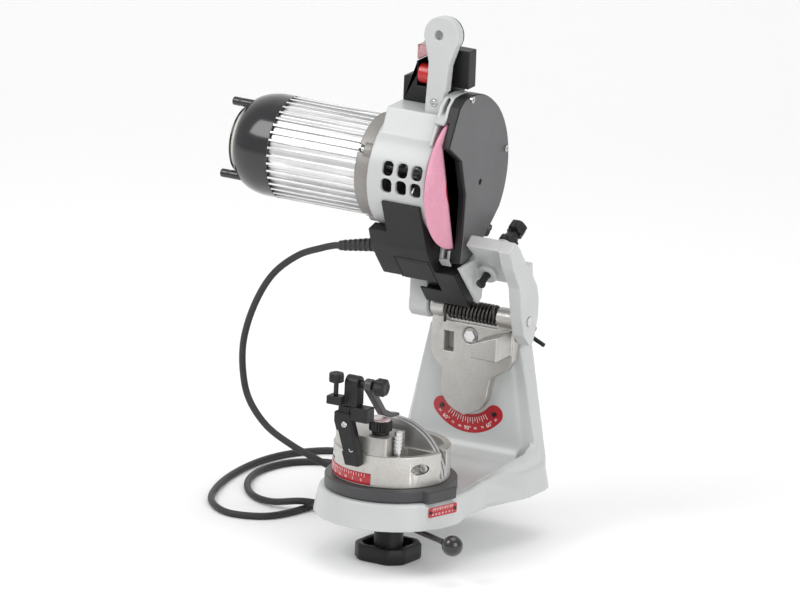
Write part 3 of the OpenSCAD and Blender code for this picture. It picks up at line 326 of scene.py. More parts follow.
def sweep(path, radii, sides):
    # Rings of a tube about a path: each ring's first direction is the last one's, turned as little
    # as it needs.
    path = np.asarray(path, float)
    radii = np.broadcast_to(np.asarray(radii, float), (len(path),))
    tangents = np.gradient(path, axis=0)
    tangents /= np.linalg.norm(tangents, axis=1)[:, None]
    normal = np.cross(tangents[0], [0.31, 0.2, 0.93])
    normals = []
    for tangent in tangents:
        normal = normal - tangent * np.dot(normal, tangent)
        normal = normal / np.linalg.norm(normal)
        normals.append(normal)
    normals = np.array(normals)
    others = np.cross(tangents, normals)
    theta = np.linspace(0, 2 * math.pi, sides, endpoint=False)
    rings = (path[:, None] + radii[:, None, None] * (np.cos(theta)[None, :, None] * normals[:, None]
             + np.sin(theta)[None, :, None] * others[:, None]))
    ends = np.stack([np.repeat(path[:1], sides, 0), np.repeat(path[-1:], sides, 0)])
    rings = np.concatenate([ends[:1], rings, ends[1:]])
    return rings, gridFaces(len(rings), sides, False, True)


def softEdges(node, width, finish, smooth=35, segments=2, limit=32, flat=0.6):
    # A copy of a CAD piece with its flat faces joined and its sharp edges rounded.
    source = frame["nodes"][node]
    mesh = source.data.copy()
    mesh.name = node + "Soft"
    work = bmesh.new()
    work.from_mesh(mesh)
    bmesh.ops.remove_doubles(work, verts=work.verts, dist=2e-6)
    bmesh.ops.dissolve_limit(work, angle_limit=math.radians(flat), use_dissolve_boundaries=False,
                             verts=work.verts, edges=work.edges)
    work.to_mesh(mesh)
    work.free()
    piece = bpy.data.objects.new(node + "Soft", mesh)
    scene.collection.objects.link(piece)
    bevel = piece.modifiers.new("edges", "BEVEL")
    bevel.width = width
    bevel.segments = segments
    bevel.limit_method = "ANGLE"
    bevel.angle_limit = math.radians(limit)
    bevel.use_clamp_overlap = False
    bevel.harden_normals = True
    finished(piece, bodyOf[node], finish, smooth)
    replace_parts(piece, node)
    return piece


def boxOf(low, high, place=bench, turn=0.0):
    # the eight corners of a box, turned about the third axis before it is placed
    low, high = np.array(low, float), np.array(high, float)
    corners = np.array([[x, y, z] for z in (0, 1) for y in (0, 1) for x in (0, 1)]) * (high - low) + low
    c, s = math.cos(turn), math.sin(turn)
    corners = np.stack([corners[:, 0] * c - corners[:, 1] * s, corners[:, 0] * s + corners[:, 1] * c,
                        corners[:, 2]], -1)
    faces = np.array([[0, 2, 3, 1], [4, 5, 7, 6], [0, 1, 5, 4], [2, 6, 7, 3], [0, 4, 6, 2],
                      [1, 3, 7, 5]])
    return place(corners), faces


def joinedPiece(name, parts, body, finish, bevel=0.0):
    # several shapes as one piece
    points, faces, count = [], [], 0
    for p, f in parts:
        p = np.asarray(p, float).reshape(-1, 3)
        points.append(p)
        faces += [[int(v) + count for v in face] for face in f]
        count += len(p)
    piece = finished(meshPiece(name, np.concatenate(points), faces), body, finish, 40)
    if bevel:
        edge = piece.modifiers.new("edges", "BEVEL")
        edge.width, edge.segments, edge.limit_method = bevel / 1000, 2, "ANGLE"
        edge.use_clamp_overlap = False
    return piece


bodies = frame["record"]["behaviour"]["bodies"]
bodyOf = {node: body for body, nodes in bodies.items() for node in nodes}


cordFacts = dict(width=7.0, drop=11, reliefLength=44, reliefRoot=(-78, 96.8, 247.7), rest=-45,
                 over=-37.4)


def cordRoute():
    # the same points as the solid cord's, in millimetres from the vise axis
    rest, over = cordFacts["rest"], cordFacts["over"]
    drop = math.radians(cordFacts["drop"])
    ahead = np.array([-math.cos(drop), 0, -math.sin(drop)])
    start = np.array(cordFacts["reliefRoot"]) + (cordFacts["reliefLength"] + 0.4) * ahead
    points = [start, start + cordFacts["width"] * ahead,
              [-142, 97, 233], [-170, 99, 220], [-199, 101, 195], [-220, 104, 160], [-233, 107, 120],
              [-234, 109, 85], [-226, 110, 55], [-205, 111, 30], [-175, 112, 14], [-145, 116, 2],
              [-121, 132, -14], [-105, 158, -34], [-100, 190, rest], [-102, 222, rest],
              [-114, 258, rest], [-142, 288, rest], [-182, 304, rest], [-226, 303, rest],
              [-256, 272, rest], [-270, 228, rest], [-271, 170, rest], [-260, 110, rest],
              [-240, 64, rest], [-206, 37, rest], [-169, 48, rest], [-152, 88, rest],
              [-150, 134, rest], [-156, 190, rest], [-170, 238, rest], [-204, 262, rest],
              [-241, 240, rest], [-254, 194, rest], [-244, 148, rest], [-218, 110, rest],
              [-186, 93, rest + 2], [-152, 96, over], [-126, 120, rest + 2], [-120, 160, rest],
              [-118, 192, rest + 1], [-104, 225, over], [-91, 251, rest + 1.5], [-88, 266, rest],
              [-88, 272, rest]]
    return np.array(points, float)


def throughPoints(points, steps):
    # A smooth curve through all the points: on each span, the cubic whose slope at a point is half
    # of the line between that point's neighbours.
    p = np.concatenate([points[:1], points, points[-1:]])
    a, b, c, d = (p[k:len(p) - 3 + k][:, None] for k in range(4))
    t = (np.arange(steps) / steps)[None, :, None]
    spans = 0.5 * (2 * b + (c - a) * t + (2 * a - 5 * b + 4 * c - d) * t ** 2
                   + (3 * b - a - 3 * c + d) * t ** 3)
    return np.concatenate([spans.reshape(-1, 3), points[-1:]])


def addCord():
    path = bench(throughPoints(cordRoute(), 8))
    rings, faces = sweep(path, cordFacts["width"] / 2000, 20)
    cord = finished(meshPiece("powerCord", rings, faces), "base", "softBlack", 180)
    length = float(np.linalg.norm(np.diff(path, axis=0), axis=1).sum())
    print("cord", round(length, 4))
    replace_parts(cord, "cord")
    return cord, path, length


powerCord, cordPath, cordLength = addCord()
print("cord laid")


# node: (radius of its edges in millimetres, finish)
castings = dict(
    handle_back=(2.0, "blackPlastic"), tilt_bracket=(1.6, "bareAlloy"), vise_body=(0.9, "bareAlloy"),
    vise_ring=(1.8, "satinGrey"), fixed_jaw=(0.6, "jawSteel"), moving_jaw=(0.6, "jawSteel"),
    chain_stop_arm=(1.1, "blackPlastic"), chain_stop_block=(1.1, "blackPlastic"),
    chain_pawl=(0.9, "satinGrey"), motor_flange=(1.5, "flangeAlloy"), motor_barrel=(0.5, "ribbedAlloy"),
    wheel_cover=(1.2, "blackPlastic"), cover_plate=(0.5, "coverGrey"), electric_box=(1.0, "blackPlastic"),
    box_lid=(0.6, "blackPlastic"), switch_box=(1.1, "blackPlastic"), switch_rocker=(0.7, "redPlastic"),
    switch_hood=(1.3, "clearHood"), spark_deflector=(0.3, "clearLip"),
    tilt_lock_lever=(0.8, "blackPlastic"), plug=(1.2, "softBlack"))


def addCastings():
    for node, (radius, finish) in castings.items():
        softEdges(node, radius / 1000, finish, segments=3 if radius > 1.3 else 2)


addCastings()

# Blocks that swell the base between its corners, in millimetres: each upright's edge out to the flared
# foot, and a ridge that runs forward along both sides of the deck.
baseShape = dict(
    rightEdge=((47, 163.5, 147), (57, 163.5, 147), (47, 187, 147), (57.5, 187, 147), (66, 163.5, 16),
               (85, 163.5, 16), (66, 186, 16), (84, 178, 16), (82, 181, 30)),
    leftEdge=((-47, 163.5, 147), (-50, 163.5, 147), (-47, 187, 147), (-57.5, 187, 147),
              (-66, 163.5, 16), (-74, 163.5, 16), (-66, 186, 16), (-84, 178, 16), (-82, 181, 30)),
    # each rib of the ridge: its distance forward, then (across, height) of its four corners
    ridge=((4, (70, 4), (75, 4), (70, 26.6), (74.4, 26.6)),
           (32, (70, 4), (75.2, 4), (72, 28.2), (76, 27.8)),
           (60, (70, 4), (75.4, 4), (72, 31.5), (77, 31)),
           (128, (76, 4), (91, 4), (76, 34), (81, 33)),
           (164, (72, 4), (91, 4), (72, 47), (79, 44))))

# node: cube size in millimetres, smoothing passes, share of the faces kept, body
skins = dict(base_casting=(1.15, 10, 0.42, "base"), motor_housing=(1.0, 4, 0.35, "head"),
             swing_arm=(1.0, 4, 0.35, "head"), handle_front=(0.9, 4, 0.35, "head"))


def baseBlocks():
    b = baseShape
    ribs = [[(x, y, z) for x, z in corners] for y, *corners in b["ridge"]]
    spans = [np.array(near + far) for near, far in zip(ribs[:-1], ribs[1:])]
    return [b["rightEdge"], b["leftEdge"]] + [span * [side, 1, 1] for side in (1, -1) for span in spans]


def addSkin(node, blocks=()):
    # The solid and its swells are cut into small cubes, wrapped in one skin and then smoothed:
    # each point moves halfway to the middle of its neighbours, a few times over.
    grain, passes, keep, body = skins[node]
    work = bmesh.new()
    work.from_mesh(frame["nodes"][node].data)
    bmesh.ops.remove_doubles(work, verts=work.verts, dist=2e-6)
    for block in blocks:
        corners = [work.verts.new(p) for p in bench(block)]
        hull = bmesh.ops.convex_hull(work, input=corners)
        faces = [part for part in hull["geom"] if isinstance(part, bmesh.types.BMFace)]
        bmesh.ops.recalc_face_normals(work, faces=faces)
    mesh = bpy.data.meshes.new(node + "Rough")
    work.to_mesh(mesh)
    work.free()
    rough = bpy.data.objects.new(node + "Rough", mesh)
    scene.collection.objects.link(rough)
    skin = rough.modifiers.new("skin", "REMESH")
    skin.mode, skin.voxel_size = "VOXEL", grain / 1000
    ease = rough.modifiers.new("ease", "SMOOTH")
    ease.factor, ease.iterations = 0.5, passes
    thin = rough.modifiers.new("thin", "DECIMATE")
    thin.ratio = keep
    seen = rough.evaluated_get(bpy.context.evaluated_depsgraph_get())
    cast = bpy.data.meshes.new_from_object(seen)
    cast.name = node + "Skin"
    bpy.data.objects.remove(rough)
    piece = bpy.data.objects.new(node + "Skin", cast)
    scene.collection.objects.link(piece)
    finished(piece, body, "castPaint", 180)
    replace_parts(piece, node)
    print(node, "faces", len(cast.polygons))


addSkin("base_casting", baseBlocks())
for node in ("motor_housing", "swing_arm", "handle_front"):
    addSkin(node)
print("castings eased")


plainNodes = dict(
    scale_screws="darkSteel", vise_stud="brightSteel", jaw_bolts="brightSteel",
    bracket_bolt="brightSteel",
    pivot_bolt="brightSteel", hinge_shaft="brightSteel", spring_sleeve="blackPlastic",
    head_screws="brightSteel",
    stator_core="laminations", stator_windings="copper", motor_bearings="brightSteel",
    motor_shaft="brightSteel",
    rotor_core="laminations", cooling_fan="blackPlastic", wheel_flanges="brightSteel",
    wheel_nut="brightSteel",
    run_capacitor="paleMoulding", terminal_block="paleMoulding", wheel_label="redPlate",
    clamp_post="brightSteel")


def paintPlainNodes():
    for node, finish in plainNodes.items():
        mesh = frame["nodes"][node].data
        mesh.materials.clear()
        mesh.materials.append(finishes[finish])


paintPlainNodes()


wheel = dict(radius=72.5, bore=11.1, thick=4.8)


def addWheel():
    r, t = wheel["radius"], wheel["thick"] / 2
    profile = [(wheel["bore"], -t), (r - 2.4, -t), (r, -t * 0.35), (r, t * 0.35), (r - 2.4, t),
               (wheel["bore"], t)]
    loop = eased(profile, 1.0)
    points, faces = lathe(np.concatenate([loop, loop[:1]]), (0, 0, 0), (0, 0, 1), onAxle, steps=160)
    stone = finished(meshPiece("grindingStone", points, faces), "rotor", "stone", 40)
    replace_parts(stone, "grinding_wheel")


addWheel()


# place, direction, radius, height, lobes, lobe depth, body, replaced node, and the stem below
knobs = dict(
    stopThumb=dict(at=(-25, -80, 138), along=(0, 0, 1), stem=(2.5, 14), r=8.4, h=10, lobes=6, depth=0.6,
                   body="thumb_screw", node="stop_thumb_screw"),
    crossHandle=dict(at=(-3, -68, 151), along=(1, 0, 0), stem=(4, 17.5), r=9.5, h=12.5, lobes=6,
                     depth=0.6,
                     body="cross_screw", node="cross_knob"),
    feedDial=dict(at=(7, -40, 93.3), along=(0, 0, 1), stem=(9, 3), r=12, h=12, lobes=24, depth=0.4,
                  body="advance_screw", node="advance_knob"))


def addKnob(name, k, place=bench):
    # the grip swells and shrinks round its rim, on a plain stem
    r, (stem, foot) = k["r"], k["stem"]
    core = r * 0.72
    top = foot + k["h"]
    profile = [(0, 0), (stem, 0), (stem, foot), (r * 0.7, foot), (r, foot + 1.2), (r, top - 1.6),
               (r * 0.8, top),
               (r * 0.45, top), (r * 0.4, top - 0.6), (0, top - 0.6)]
    points, faces = lathe(eased(profile, 0.8), k["at"], k["along"], place, steps=144, lobes=k["lobes"],
                          depth=k["depth"], core=core)
    knob = finished(meshPiece(name, points, faces), k["body"], "blackPlastic", 50)
    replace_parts(knob, k["node"])


def addKnobs():
    for name, k in knobs.items():
        addKnob(name, k)


addKnobs()

stopScrew = dict(point=(30, -56, 14), lean=15)


def onStop(points):
    p = np.asarray(points, float)
    lean = math.radians(stopScrew["lean"])
    y = p[..., 1] * math.cos(lean) - p[..., 2] * math.sin(lean)
    z = p[..., 1] * math.sin(lean) + p[..., 2] * math.cos(lean)
    return onHead(np.stack([p[..., 0], y, z], -1) + stopScrew["point"])


def addStopScrew():
    thread = [(0, -37), (5, -37), (5, -34), (3.6, -34)]
    for k in range(28):
        thread += [(4, -33.2 + k * 2), (3.5, -32.2 + k * 2)]
    profile = thread + [(4, 24), (4, 42), (7, 42), (9.5, 43.5), (9.5, 53.4), (7.6, 55), (4, 55),
                        (3.6, 54.2), (0, 54.2)]
    points, faces = lathe(eased(profile, 0.5, 3), (0, 0, 0), (0, 0, 1), onStop, steps=120, lobes=6,
                          depth=0.6, core=6.9)
    screw = finished(meshPiece("depthScrew", points, faces), "depth_screw", "blackPlastic",
                     50)
    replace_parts(screw, "stop_screw")
    bore = 4.05
    ring = [(bore, 22.3), (8, 22.3), (11, 23.6), (11, 30), (9.4, 31.3), (7.5, 31.3), (7.5, 36.3),
            (bore, 36.3)]
    loop = eased(ring, 0.6, 3)
    points, faces = lathe(np.concatenate([loop, loop[:1]]), (0, 0, 0), (0, 0, 1), onStop, steps=120,
                          lobes=6,
                          depth=0.6, core=8)
    lock = finished(meshPiece("depthLock", points, faces), "depth_lock", "blackPlastic",
                    50)
    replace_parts(lock, "stop_lock_knob")


addStopScrew()

lockKnob = dict(across=64, cornerCut=0.893, sharp=26, turn=-4, low=-48.5, high=-31.5)


def addLockKnob():
    # A square with its corners cut and blended: the radius is the least of four flats and four
    # corner flats, made smooth by a soft minimum.
    half = lockKnob["across"] / 2 - 2
    theta = np.linspace(0, 2 * math.pi, 192, endpoint=False)
    turn = math.radians(lockKnob["turn"])
    c, s, sharp = np.cos(theta), np.sin(theta), lockKnob["sharp"]
    cut = lockKnob["cornerCut"] / math.sqrt(2)
    flats = np.abs(np.stack([c, s, (c + s) * cut, (c - s) * cut]))
    reach = half / np.power((flats ** sharp).sum(0), 1 / sharp)
    low, high = lockKnob["low"], lockKnob["high"]
    # height and inset from the outline, or a plain radius where the ring is round
    rim = [(low, -3.0), (low + 0.6, -1.0), (low + 2.2, 0), (high - 2.2, 0), (high - 0.6, -1.0),
           (high, -3.0),
           (high, -6.2), (high - 0.8, -7.2), (high - 10, -7.6)]
    rows = [np.stack([(reach + inset) * np.cos(theta + turn), (reach + inset) * np.sin(theta + turn),
                      0 * theta + z], -1) for z, inset in rim]
    hub = [(19, high - 10.5), (16, high - 10), (15, high - 8), (15, -18), (14, -16.2), (8.05, -16),
           (8.05, low + 0.4)]
    rows += [np.stack([r * np.cos(theta), r * np.sin(theta), 0 * theta + z], -1) for r, z in hub]
    points = np.array(rows)
    points = np.concatenate([points, points[:1]])
    knob = meshPiece("lockKnob", bench(points), gridFaces(len(points), 192, False, True))
    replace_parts(finished(knob, "lock_knob", "blackPlastic", 40), "vise_lock_knob")


addLockKnob()

lever = dict(turn=-26.6, reach=113, ball=11, rod=3, height=-7.5)


def addClampLever():
    a = math.radians(lever["turn"])
    along = (math.cos(a), math.sin(a), 0)
    z = lever["height"]
    collar = [(8.05, -15), (15, -15), (15, -1), (8.05, -1)]
    loop = eased(collar + collar[:1], 0.8)
    points, faces = lathe(np.concatenate([loop, loop[:1]]), (0, 0, 0), (0, 0, 1), steps=96)
    hub = finished(meshPiece("leverCollar", points, faces), "lever", "glossBlack", 50)
    reach, r, ball = lever["reach"], lever["rod"], lever["ball"]
    rod = [(0, 13), (r, 13), (r, reach - ball - 4), (0, reach - ball + 1)]
    points, faces = lathe(eased(rod, 0.5), (0, 0, z), along, steps=32)
    finished(meshPiece("leverRod", points, faces), "lever", "darkSteel", 50)
    s = np.linspace(0, math.pi, 36)
    sphere = np.stack([ball * np.sin(s), reach - ball * np.cos(s)], -1)
    neck = [(0, reach - ball - 3), (4.6, reach - ball - 3), (5.2, reach - ball + 1)]
    points, faces = lathe(np.concatenate([neck, sphere[7:]]), (0, 0, z), along, steps=64)
    finished(meshPiece("leverBall", points, faces), "lever", "glossBlack", 180)
    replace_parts(hub, "clamp_lever")


addClampLever()
print("knobs turned")


spring = dict(wire=3.0, radius=9.4, curls=13, left=-23.5, right=36.6, steps=28)


def addSpring():
    # a helix about the hinge axis: x grows with the angle, y and z go round
    wire, r, n = spring["wire"], spring["radius"], spring["curls"]
    x0 = spring["left"] + 0.6 + wire / 2
    pitch = (spring["right"] - spring["left"] - 1.2 - wire) / n
    t = np.linspace(0, n, n * spring["steps"] + 1)
    coil = np.stack([x0 + pitch * t, -r * np.cos(2 * math.pi * t), r * np.sin(2 * math.pi * t)], -1)
    legs = [[[x0, -r, -13], [x0, -r, -9], [x0, -r, -5]], [[x0 + n * pitch, -r, 5],
                                                          [x0 + n * pitch, -r, 9],
                                                          [x0 + n * pitch, -r, 13]]]
    path = np.concatenate([legs[0], coil, legs[1]]) + [0, hinge["back"], hinge["height"]]
    rings, faces = sweep(bench(path), wire / 2000, 12)
    coiled = finished(meshPiece("returnSpring", rings, faces), "bracket", "darkSteel",
                      180)
    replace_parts(coiled, "torsion_spring")


addSpring()


cowl = dict(start=-249, length=53, outer=53, pegs=(150, 270, 30), pegReach=43)


def addCowl():
    x, r = cowl["start"], cowl["outer"]
    s = np.linspace(0, math.pi / 2, 16)
    dome = np.stack([36 + (r - 36) * np.sin(s), x + 6.5 + 34 * (1 - np.cos(s))], -1)
    outer = np.concatenate([dome, [(r, x + cowl["length"])]])
    inner = outer[::-1] - [3, 0]
    profile = np.concatenate([outer, [(r - 3, x + cowl["length"])], inner[1:], dome[:1]])
    points, faces = lathe(profile, (0, 0, 0), (0, 0, 1), onAxle, steps=128)
    shell = finished(meshPiece("cowlShell", points, faces), "head", "glossBlack", 50)
    band = eased([(31, x + 2), (34.4, x + 2), (34.4, x + 7.5), (31, x + 7.5), (31, x + 2)], 0.4)
    points, faces = lathe(np.concatenate([band, band[:1]]), (0, 0, 0), (0, 0, 1), onAxle, steps=96)
    finished(meshPiece("cowlBand", points, faces), "head", "paleMoulding", 50)
    lip = eased([(31.5, x), (35, x), (35, x + 2), (31.5, x + 2), (31.5, x)], 0.5)
    points, faces = lathe(np.concatenate([lip, lip[:1]]), (0, 0, 0), (0, 0, 1), onAxle, steps=96)
    finished(meshPiece("cowlLip", points, faces), "head", "glossBlack", 50)
    for k, angle in enumerate(cowl["pegs"]):
        a = math.radians(angle)
        at = (cowl["pegReach"] * math.cos(a), cowl["pegReach"] * math.sin(a), 0)
        peg = [(0, x - 9), (1.6, x - 9), (1.8, x - 7.4), (3.2, x - 7.4), (3.8, x - 9), (4.5, x - 8),
               (4.5, x - 1),
               (4.2, x), (4.5, x + 1), (4.5, x + 17), (0, x + 17)]
        points, faces = lathe(eased(peg, 0.5, 3), at, (0, 0, 1), onAxle, steps=40)
        finished(meshPiece("cowlPeg" + str(k + 1), points, faces), "head", "glossBlack",
                 50)
    grille = []
    for r in (8, 14, 20, 26):
        bar = eased([(r - 1, x + 2), (r + 1, x + 2), (r + 1, x + 4.6), (r - 1, x + 4.6),
                     (r - 1, x + 2)], 0.3, 3)
        grille.append(lathe(np.concatenate([bar, bar[:1]]), (0, 0, 0), (0, 0, 1), onAxle, steps=72))
    joinedPiece("cowlGrille", grille, "head", "glossBlack")
    spokes = [boxOf((-32, -1, x + 2.2), (32, 1, x + 4.8), onAxle,
                    turn=math.radians(a)) for a in range(0, 180, 30)]
    joinedPiece("cowlSpokes", spokes, "head", "glossBlack")
    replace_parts(shell, "fan_cowl")


addCowl()
print("motor cowled")

# an arc of the guard's rim over the wheel: radii and ends in millimetres, angles in the head's plane
guardRim = dict(inner=74.6, outer=78.4, left=-12, right=0.4, start=168, end=196, steps=24)


def addGuardRim():
    # a rectangle carried round the wheel's axis between two angles, with flat ends
    g = guardRim
    a = np.radians(np.linspace(g["start"], g["end"], g["steps"]))[:, None]
    r = np.array([g["inner"], g["outer"], g["outer"], g["inner"]])
    x = np.array([g["left"], g["left"], g["right"], g["right"]]) + 0 * a
    grid = np.stack([x, r * np.cos(a) - hinge["axleReach"], r * np.sin(a) + hinge["axleRise"]], -1)
    last = 4 * (g["steps"] - 1)
    faces = gridFaces(g["steps"], 4, False, True).tolist() + [[3, 2, 1, 0],
                                                              [last, last + 1, last + 2, last + 3]]
    rim = finished(meshPiece("guardRim", onHead(grid), faces), "head", "castPaint", 40)
    edge = rim.modifiers.new("edges", "BEVEL")
    edge.width, edge.segments, edge.limit_method = 0.0009, 3, "ANGLE"


addGuardRim()

# small turned pieces: place, direction, profile of (radius, height), finish, slot and body
screwHead = [(0, 0), (3.9, 0), (3.9, 1.7), (3.2, 2.3), (2.1, 2.3), (1.8, 1.1), (0, 1.1)]
smallParts = dict(
    handleScrew=dict(at=(-22, 103.2, 406.1), along=(0, -0.9925, 0.1219), profile=screwHead,
                     finish="brightSteel",
                     slot="bright_steel", body="head"),
    dialTop=dict(at=(7, -40, 107.7), along=(0, 0, 1),
                 profile=[(0, 0), (9.8, 0), (9.8, 0.7), (9.2, 1.1), (0, 1.1)], finish="rosyInlay",
                 slot="pale_plastic", body="advance_screw"),
    armScrew=dict(at=(-15, -77.2, 108), along=(0.1, -1, 0.1),
                  profile=[(r * 0.8, h) for r, h in screwHead],
                  finish="brightSteel", slot="bright_steel", body="vise"),
    footScrew=dict(at=(-9, -70.4, 81), along=(0.1, -1, 0.1),
                   profile=[(r * 0.8, h) for r, h in screwHead],
                   finish="brightSteel", slot="bright_steel", body="vise"))


def addSmallParts():
    for name, s in smallParts.items():
        points, faces = lathe(eased(s["profile"], 0.4, 3), s["at"], s["along"], steps=40)
        finished(meshPiece(name, points, faces), s["body"], s["finish"], 40)


addSmallParts()


def wordShape(word, size, thick):
    # the solid shape of a number, centred, with its corners as points and faces
    text = bpy.data.curves.new("word", "FONT")
    text.body, text.size, text.extrude, text.resolution_u = word, size, thick / 2, 3
    text.align_x = text.align_y = "CENTER"
    holder = bpy.data.objects.new("word", text)
    scene.collection.objects.link(holder)
    bpy.context.view_layer.update()
    mesh = bpy.data.meshes.new_from_object(holder)
    points = np.zeros(len(mesh.vertices) * 3)
    mesh.vertices.foreach_get("co", points)
    faces = [list(face.vertices) for face in mesh.polygons]
    bpy.data.objects.remove(holder)
    bpy.data.curves.remove(text)
    bpy.data.meshes.remove(mesh)
    return points.reshape(-1, 3), faces


def markBox(x0, x1, y0, y1, thick):
    points, faces = boxOf((x0, y0, -thick / 2), (x1, y1, thick / 2), place=np.asarray)
    return points, faces


tiltScale = dict(inner=30, outer=49.5, sweep=50, face=162, pivot=96, thick=0.22,
                 words=((-46, "50", 3.2), (-34, "60°", 6.0), (-22.5, "70", 3.2), (-11.5, "80", 3.2),
                        (0, "90°", 6.0),
                        (11.5, "80", 3.2), (22.5, "70", 3.2), (34, "60°", 6.0), (46, "50", 3.2)))


def addTiltScale():
    # the plate is a band of an arc with round ends; x runs right and z up on the upright's face
    s = tiltScale
    mid, half = (s["inner"] + s["outer"]) / 2, (s["outer"] - s["inner"]) / 2
    sweep = np.radians(np.linspace(-s["sweep"], s["sweep"], 73))
    reach = mid + half * np.linspace(-1, 1, 9)
    rows = np.array([np.outer(np.sin(sweep), reach), -np.outer(np.cos(sweep), reach)])
    rows = rows.transpose(1, 2, 0)
    cap = np.linspace(0, math.pi, 13)[1:-1]
    outline = [rows[:, -1]]
    for sign, where in ((1, s["sweep"]), (-1, -s["sweep"])):
        a = math.radians(where)
        centre = np.array([mid * math.sin(a), -mid * math.cos(a)])
        radial = np.array([math.sin(a), -math.cos(a)])
        onward = np.array([math.cos(a), math.sin(a)]) * sign
        ring = centre + half * (np.cos(cap)[:, None] * radial + np.sin(cap)[:, None] * onward)
        outline.append(ring if sign > 0 else ring[::-1])
        if sign > 0:
            outline.append(rows[::-1, 0])
    edge = np.concatenate([outline[0], outline[1], outline[2], outline[3]])
    n = len(edge)
    front, back = s["face"] - s["thick"], s["face"] + 0.3
    points = np.concatenate([np.stack([edge[:, 0], 0 * edge[:, 0] + y, edge[:, 1] + s["pivot"]], -1)
                             for y in (front, back)])
    faces = [list(range(n)), list(range(2 * n - 1, n - 1, -1))] + gridFaces(2, n, False, True).tolist()
    plate = finished(meshPiece("tiltScale", bench(points), faces), "base", "redPlate", 40)
    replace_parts(plate, "tilt_scale_plate")

    def onPlate(p, angle, radius):
        # x and y of a mark, on the circle at an angle from straight down
        a = math.radians(angle)
        z = -radius * math.cos(a) + p[:, 0] * math.sin(a) + p[:, 1] * math.cos(a)
        x = radius * math.sin(a) + p[:, 0] * math.cos(a) - p[:, 1] * math.sin(a)
        return bench(np.stack([x, front - 0.04 - p[:, 2], z + s["pivot"]], -1))

    marks = []
    for k in range(-8, 9):
        length = 6.5 if k % 2 == 0 else 4.6
        p, f = markBox(-0.28, 0.28, -length / 2, length / 2, 0.16)
        marks.append((onPlate(p, k * 4.4, s["inner"] + 3.2 + length / 2), f))
    for angle, word, size in s["words"]:
        p, f = wordShape(word, size, 0.16)
        marks.append((onPlate(p, angle, s["outer"] - 4.6), f))
    joinedPiece("tiltScaleMarks", marks, "base", "whiteInk")


addTiltScale()

viseScale = dict(turn=-17, reach=76, wide=40, high=10.5, middle=19)


def addViseScale():
    # on the flat of the tab: x runs along it and z up
    s = viseScale
    a = math.radians(s["turn"])

    def onTab(p, x=0.0, z=0.0):
        along = p[:, 0] + x
        out = s["reach"] + 0.6 + p[:, 2]
        return bench(np.stack([out * math.cos(a) - along * math.sin(a),
                               out * math.sin(a) + along * math.cos(a),
                               s["middle"] + z + p[:, 1]], -1))

    t = np.linspace(0, 2 * math.pi, 64, endpoint=False)
    edge = np.stack([np.sign(np.cos(t)) * (s["wide"] / 2 - 2) + 2 * np.cos(t),
                     np.sign(np.sin(t)) * (s["high"] / 2 - 2) + 2 * np.sin(t)], -1)
    n = len(edge)
    points = np.concatenate([onTab(np.concatenate([edge, np.full((n, 1), z)],
                                                  1)) for z in (-0.75, 0.0)])
    faces = [list(range(n)), list(range(2 * n - 1, n - 1, -1))] + gridFaces(2, n, False, True).tolist()
    plate = finished(meshPiece("viseScale", points, faces), "base", "redPlate", 40)
    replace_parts(plate, "vise_scale_plate")
    marks = []
    for k in range(-8, 9):
        length = 3.4 if k % 2 == 0 else 2.2
        p, f = markBox(-0.2, 0.2, -length, 0, 0.14)
        marks.append((onTab(p, k * 1.75, 4.4), f))
    for k, word in enumerate(("35", "30", "25", "20", "15", "10", "0")):
        p, f = wordShape(word, 2.7, 0.14)
        marks.append((onTab(p, -14 + k * 4.66, -2.6), f))
    joinedPiece("viseScaleMarks", marks, "base", "whiteInk")


addViseScale()

dial = dict(radius=60.0, thick=0.8, middle=49, low=43, high=55, centre=-126, half=43.5)


def addDial():
    # a strip bent round the vise body, with its numbers on it
    d = dial

    def onWall(angle, p):
        a = math.radians(angle) + p[:, 0] / (d["radius"] + d["thick"])
        out = d["radius"] + d["thick"] + p[:, 2]
        return bench(np.stack([out * np.cos(a), out * np.sin(a), d["middle"] + p[:, 1]], -1))

    a = np.radians(np.linspace(d["centre"] - d["half"], d["centre"] + d["half"], 60))
    rows = []
    for r, z in ((d["radius"] - 0.3, d["low"]), (d["radius"] + d["thick"] - 0.2, d["low"]),
                 (d["radius"] + d["thick"], d["low"] + 0.4), (d["radius"] + d["thick"],
                                                              d["high"] - 0.4),
                 (d["radius"] + d["thick"] - 0.2, d["high"]), (d["radius"] - 0.3, d["high"])):
        rows.append(np.stack([r * np.cos(a), r * np.sin(a), 0 * a + z], -1))
    grid = np.array(rows)
    points = grid.reshape(-1, 3)
    n = len(a)
    faces = gridFaces(len(rows), n, True, False).tolist()
    faces += [[k * n for k in range(len(rows))], [k * n + n - 1 for k in range(len(rows))][::-1]]
    strip = finished(meshPiece("viseDial", bench(points), faces), "vise", "redPlate", 40)
    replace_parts(strip, "vise_dial")
    marks = []
    for k in range(-12, 13):
        length = 3.6 if k % 2 == 0 else 2.4
        p, f = markBox(-0.22, 0.22, -length, 0, 0.14)
        marks.append((onWall(d["centre"] + k * 3.1, p + [0, 5.4, 0]), f))
    for k, word in enumerate(("35", "30", "25", "20", "15", "10", "5", "0")):
        p, f = wordShape(word, 4.0, 0.14)
        marks.append((onWall(d["centre"] - 35 + k * 9.8, p - [0, 1.8, 0]), f))
    joinedPiece("viseDialMarks", marks, "vise", "whiteInk")


addDial()
print("scales marked")


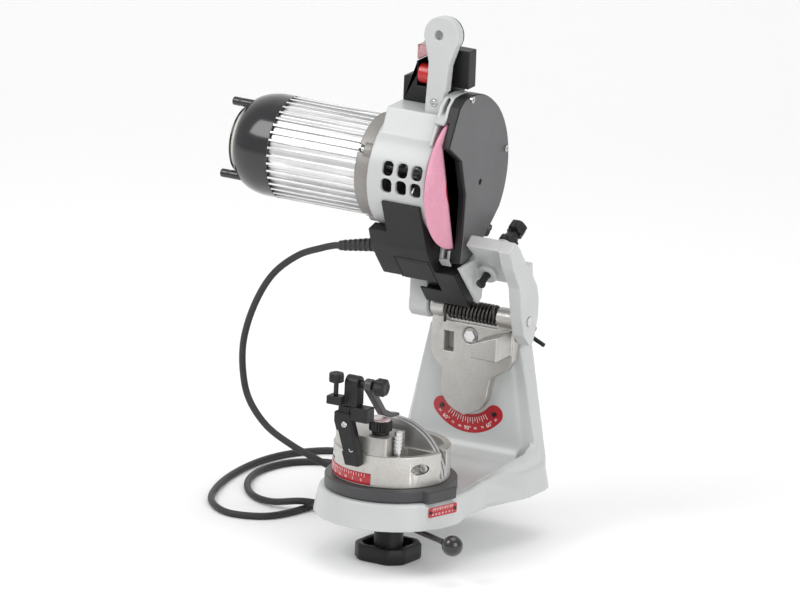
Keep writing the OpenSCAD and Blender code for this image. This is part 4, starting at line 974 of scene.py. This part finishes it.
def addRelief():
    # a tapered sleeve with six collars, along the cord's first direction
    drop = math.radians(cordFacts["drop"])
    along = (-math.cos(drop), 0, -math.sin(drop))
    profile = [(0, -0.8), (8, -0.8), (8, 3)]
    for k in range(6):
        z, r = 6 + k * 6, 7 - k * 0.25
        profile += [(r - 1.3, z - 0.6), (r, z), (r - 0.05, z + 3), (r - 1.35, z + 3.6)]
    profile += [(5.2, 41), (5, 44), (4.0, 44), (3.7, 43), (0, 43)]
    points, faces = lathe(eased(profile, 0.5, 3), cordFacts["reliefRoot"], along, steps=56)
    relief = finished(meshPiece("cordSleeve", points, faces), "head", "softBlack", 50)
    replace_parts(relief, "strain_relief")


addRelief()


stage = dict(floor=-0.0486, size=6.0, wall=3.0, colour=(0.97, 0.97, 0.97))


def addStage():
    # a floor that curves up into a wall far behind: height is a quarter circle of the distance
    t = np.linspace(0, 1, 24)
    back = np.concatenate([[-4.0, 1.4], 1.4 + 1.5 * np.sin(t * math.pi / 2), [2.9]])
    rise = np.concatenate([[0, 0], 1.5 * (1 - np.cos(t * math.pi / 2)), [4.5]])
    x = np.array([-5.0, 5.0])
    a = math.radians(view["azimuth"])
    grid = np.array([[[u * math.cos(a) - b * math.sin(a), u * math.sin(a) + b * math.cos(a),
                       stage["floor"] + h]
                      for u in x] for b, h in zip(back, rise)])
    floor = meshPiece("floor", grid, gridFaces(len(back), 2, False, False), closed=False)
    floor.data.materials.append(paintOf("floorPaper", lambda place: {
        "Roughness": 0.75 + place.noise(3.0) * 0.1}, Base_Color=stage["colour"]))
    floor.data.shade_smooth()


addStage()

skyStrength = 0.58
lights = dict(
    key=dict(at=(-1.5, -1.9, 2.3), size=1.6, power=36, aim=(0, 0, 0.2)),
    fill=dict(at=(2.3, -1.2, 1.2), size=1.8, power=30, aim=(0, 0, 0.2)),
    top=dict(at=(0.1, 0.2, 2.6), size=1.8, power=18, aim=(0, 0, 0.1)))


def addLights():
    for name, s in lights.items():
        lamp = bpy.data.lights.new(name, "AREA")
        lamp.shape, lamp.size, lamp.energy = "SQUARE", s["size"], s["power"]
        light = bpy.data.objects.new(name, lamp)
        scene.collection.objects.link(light)
        back = np.array(s["at"], float) - s["aim"]
        back /= np.linalg.norm(back)
        side = np.cross([0, 0, 1.0], back)
        side /= np.linalg.norm(side)
        matrix = np.eye(4)
        matrix[:3] = np.stack([side, np.cross(back, side), back, s["at"]], 1)
        light.matrix_world = Matrix(matrix.tolist())
    world = bpy.data.worlds.new("studio")
    world.use_nodes = True
    sky = world.node_tree.nodes["Background"]
    sky.inputs["Color"].default_value = (1, 1, 1, 1)
    sky.inputs["Strength"].default_value = skyStrength
    scene.world = world


addLights()
print("stage lit")
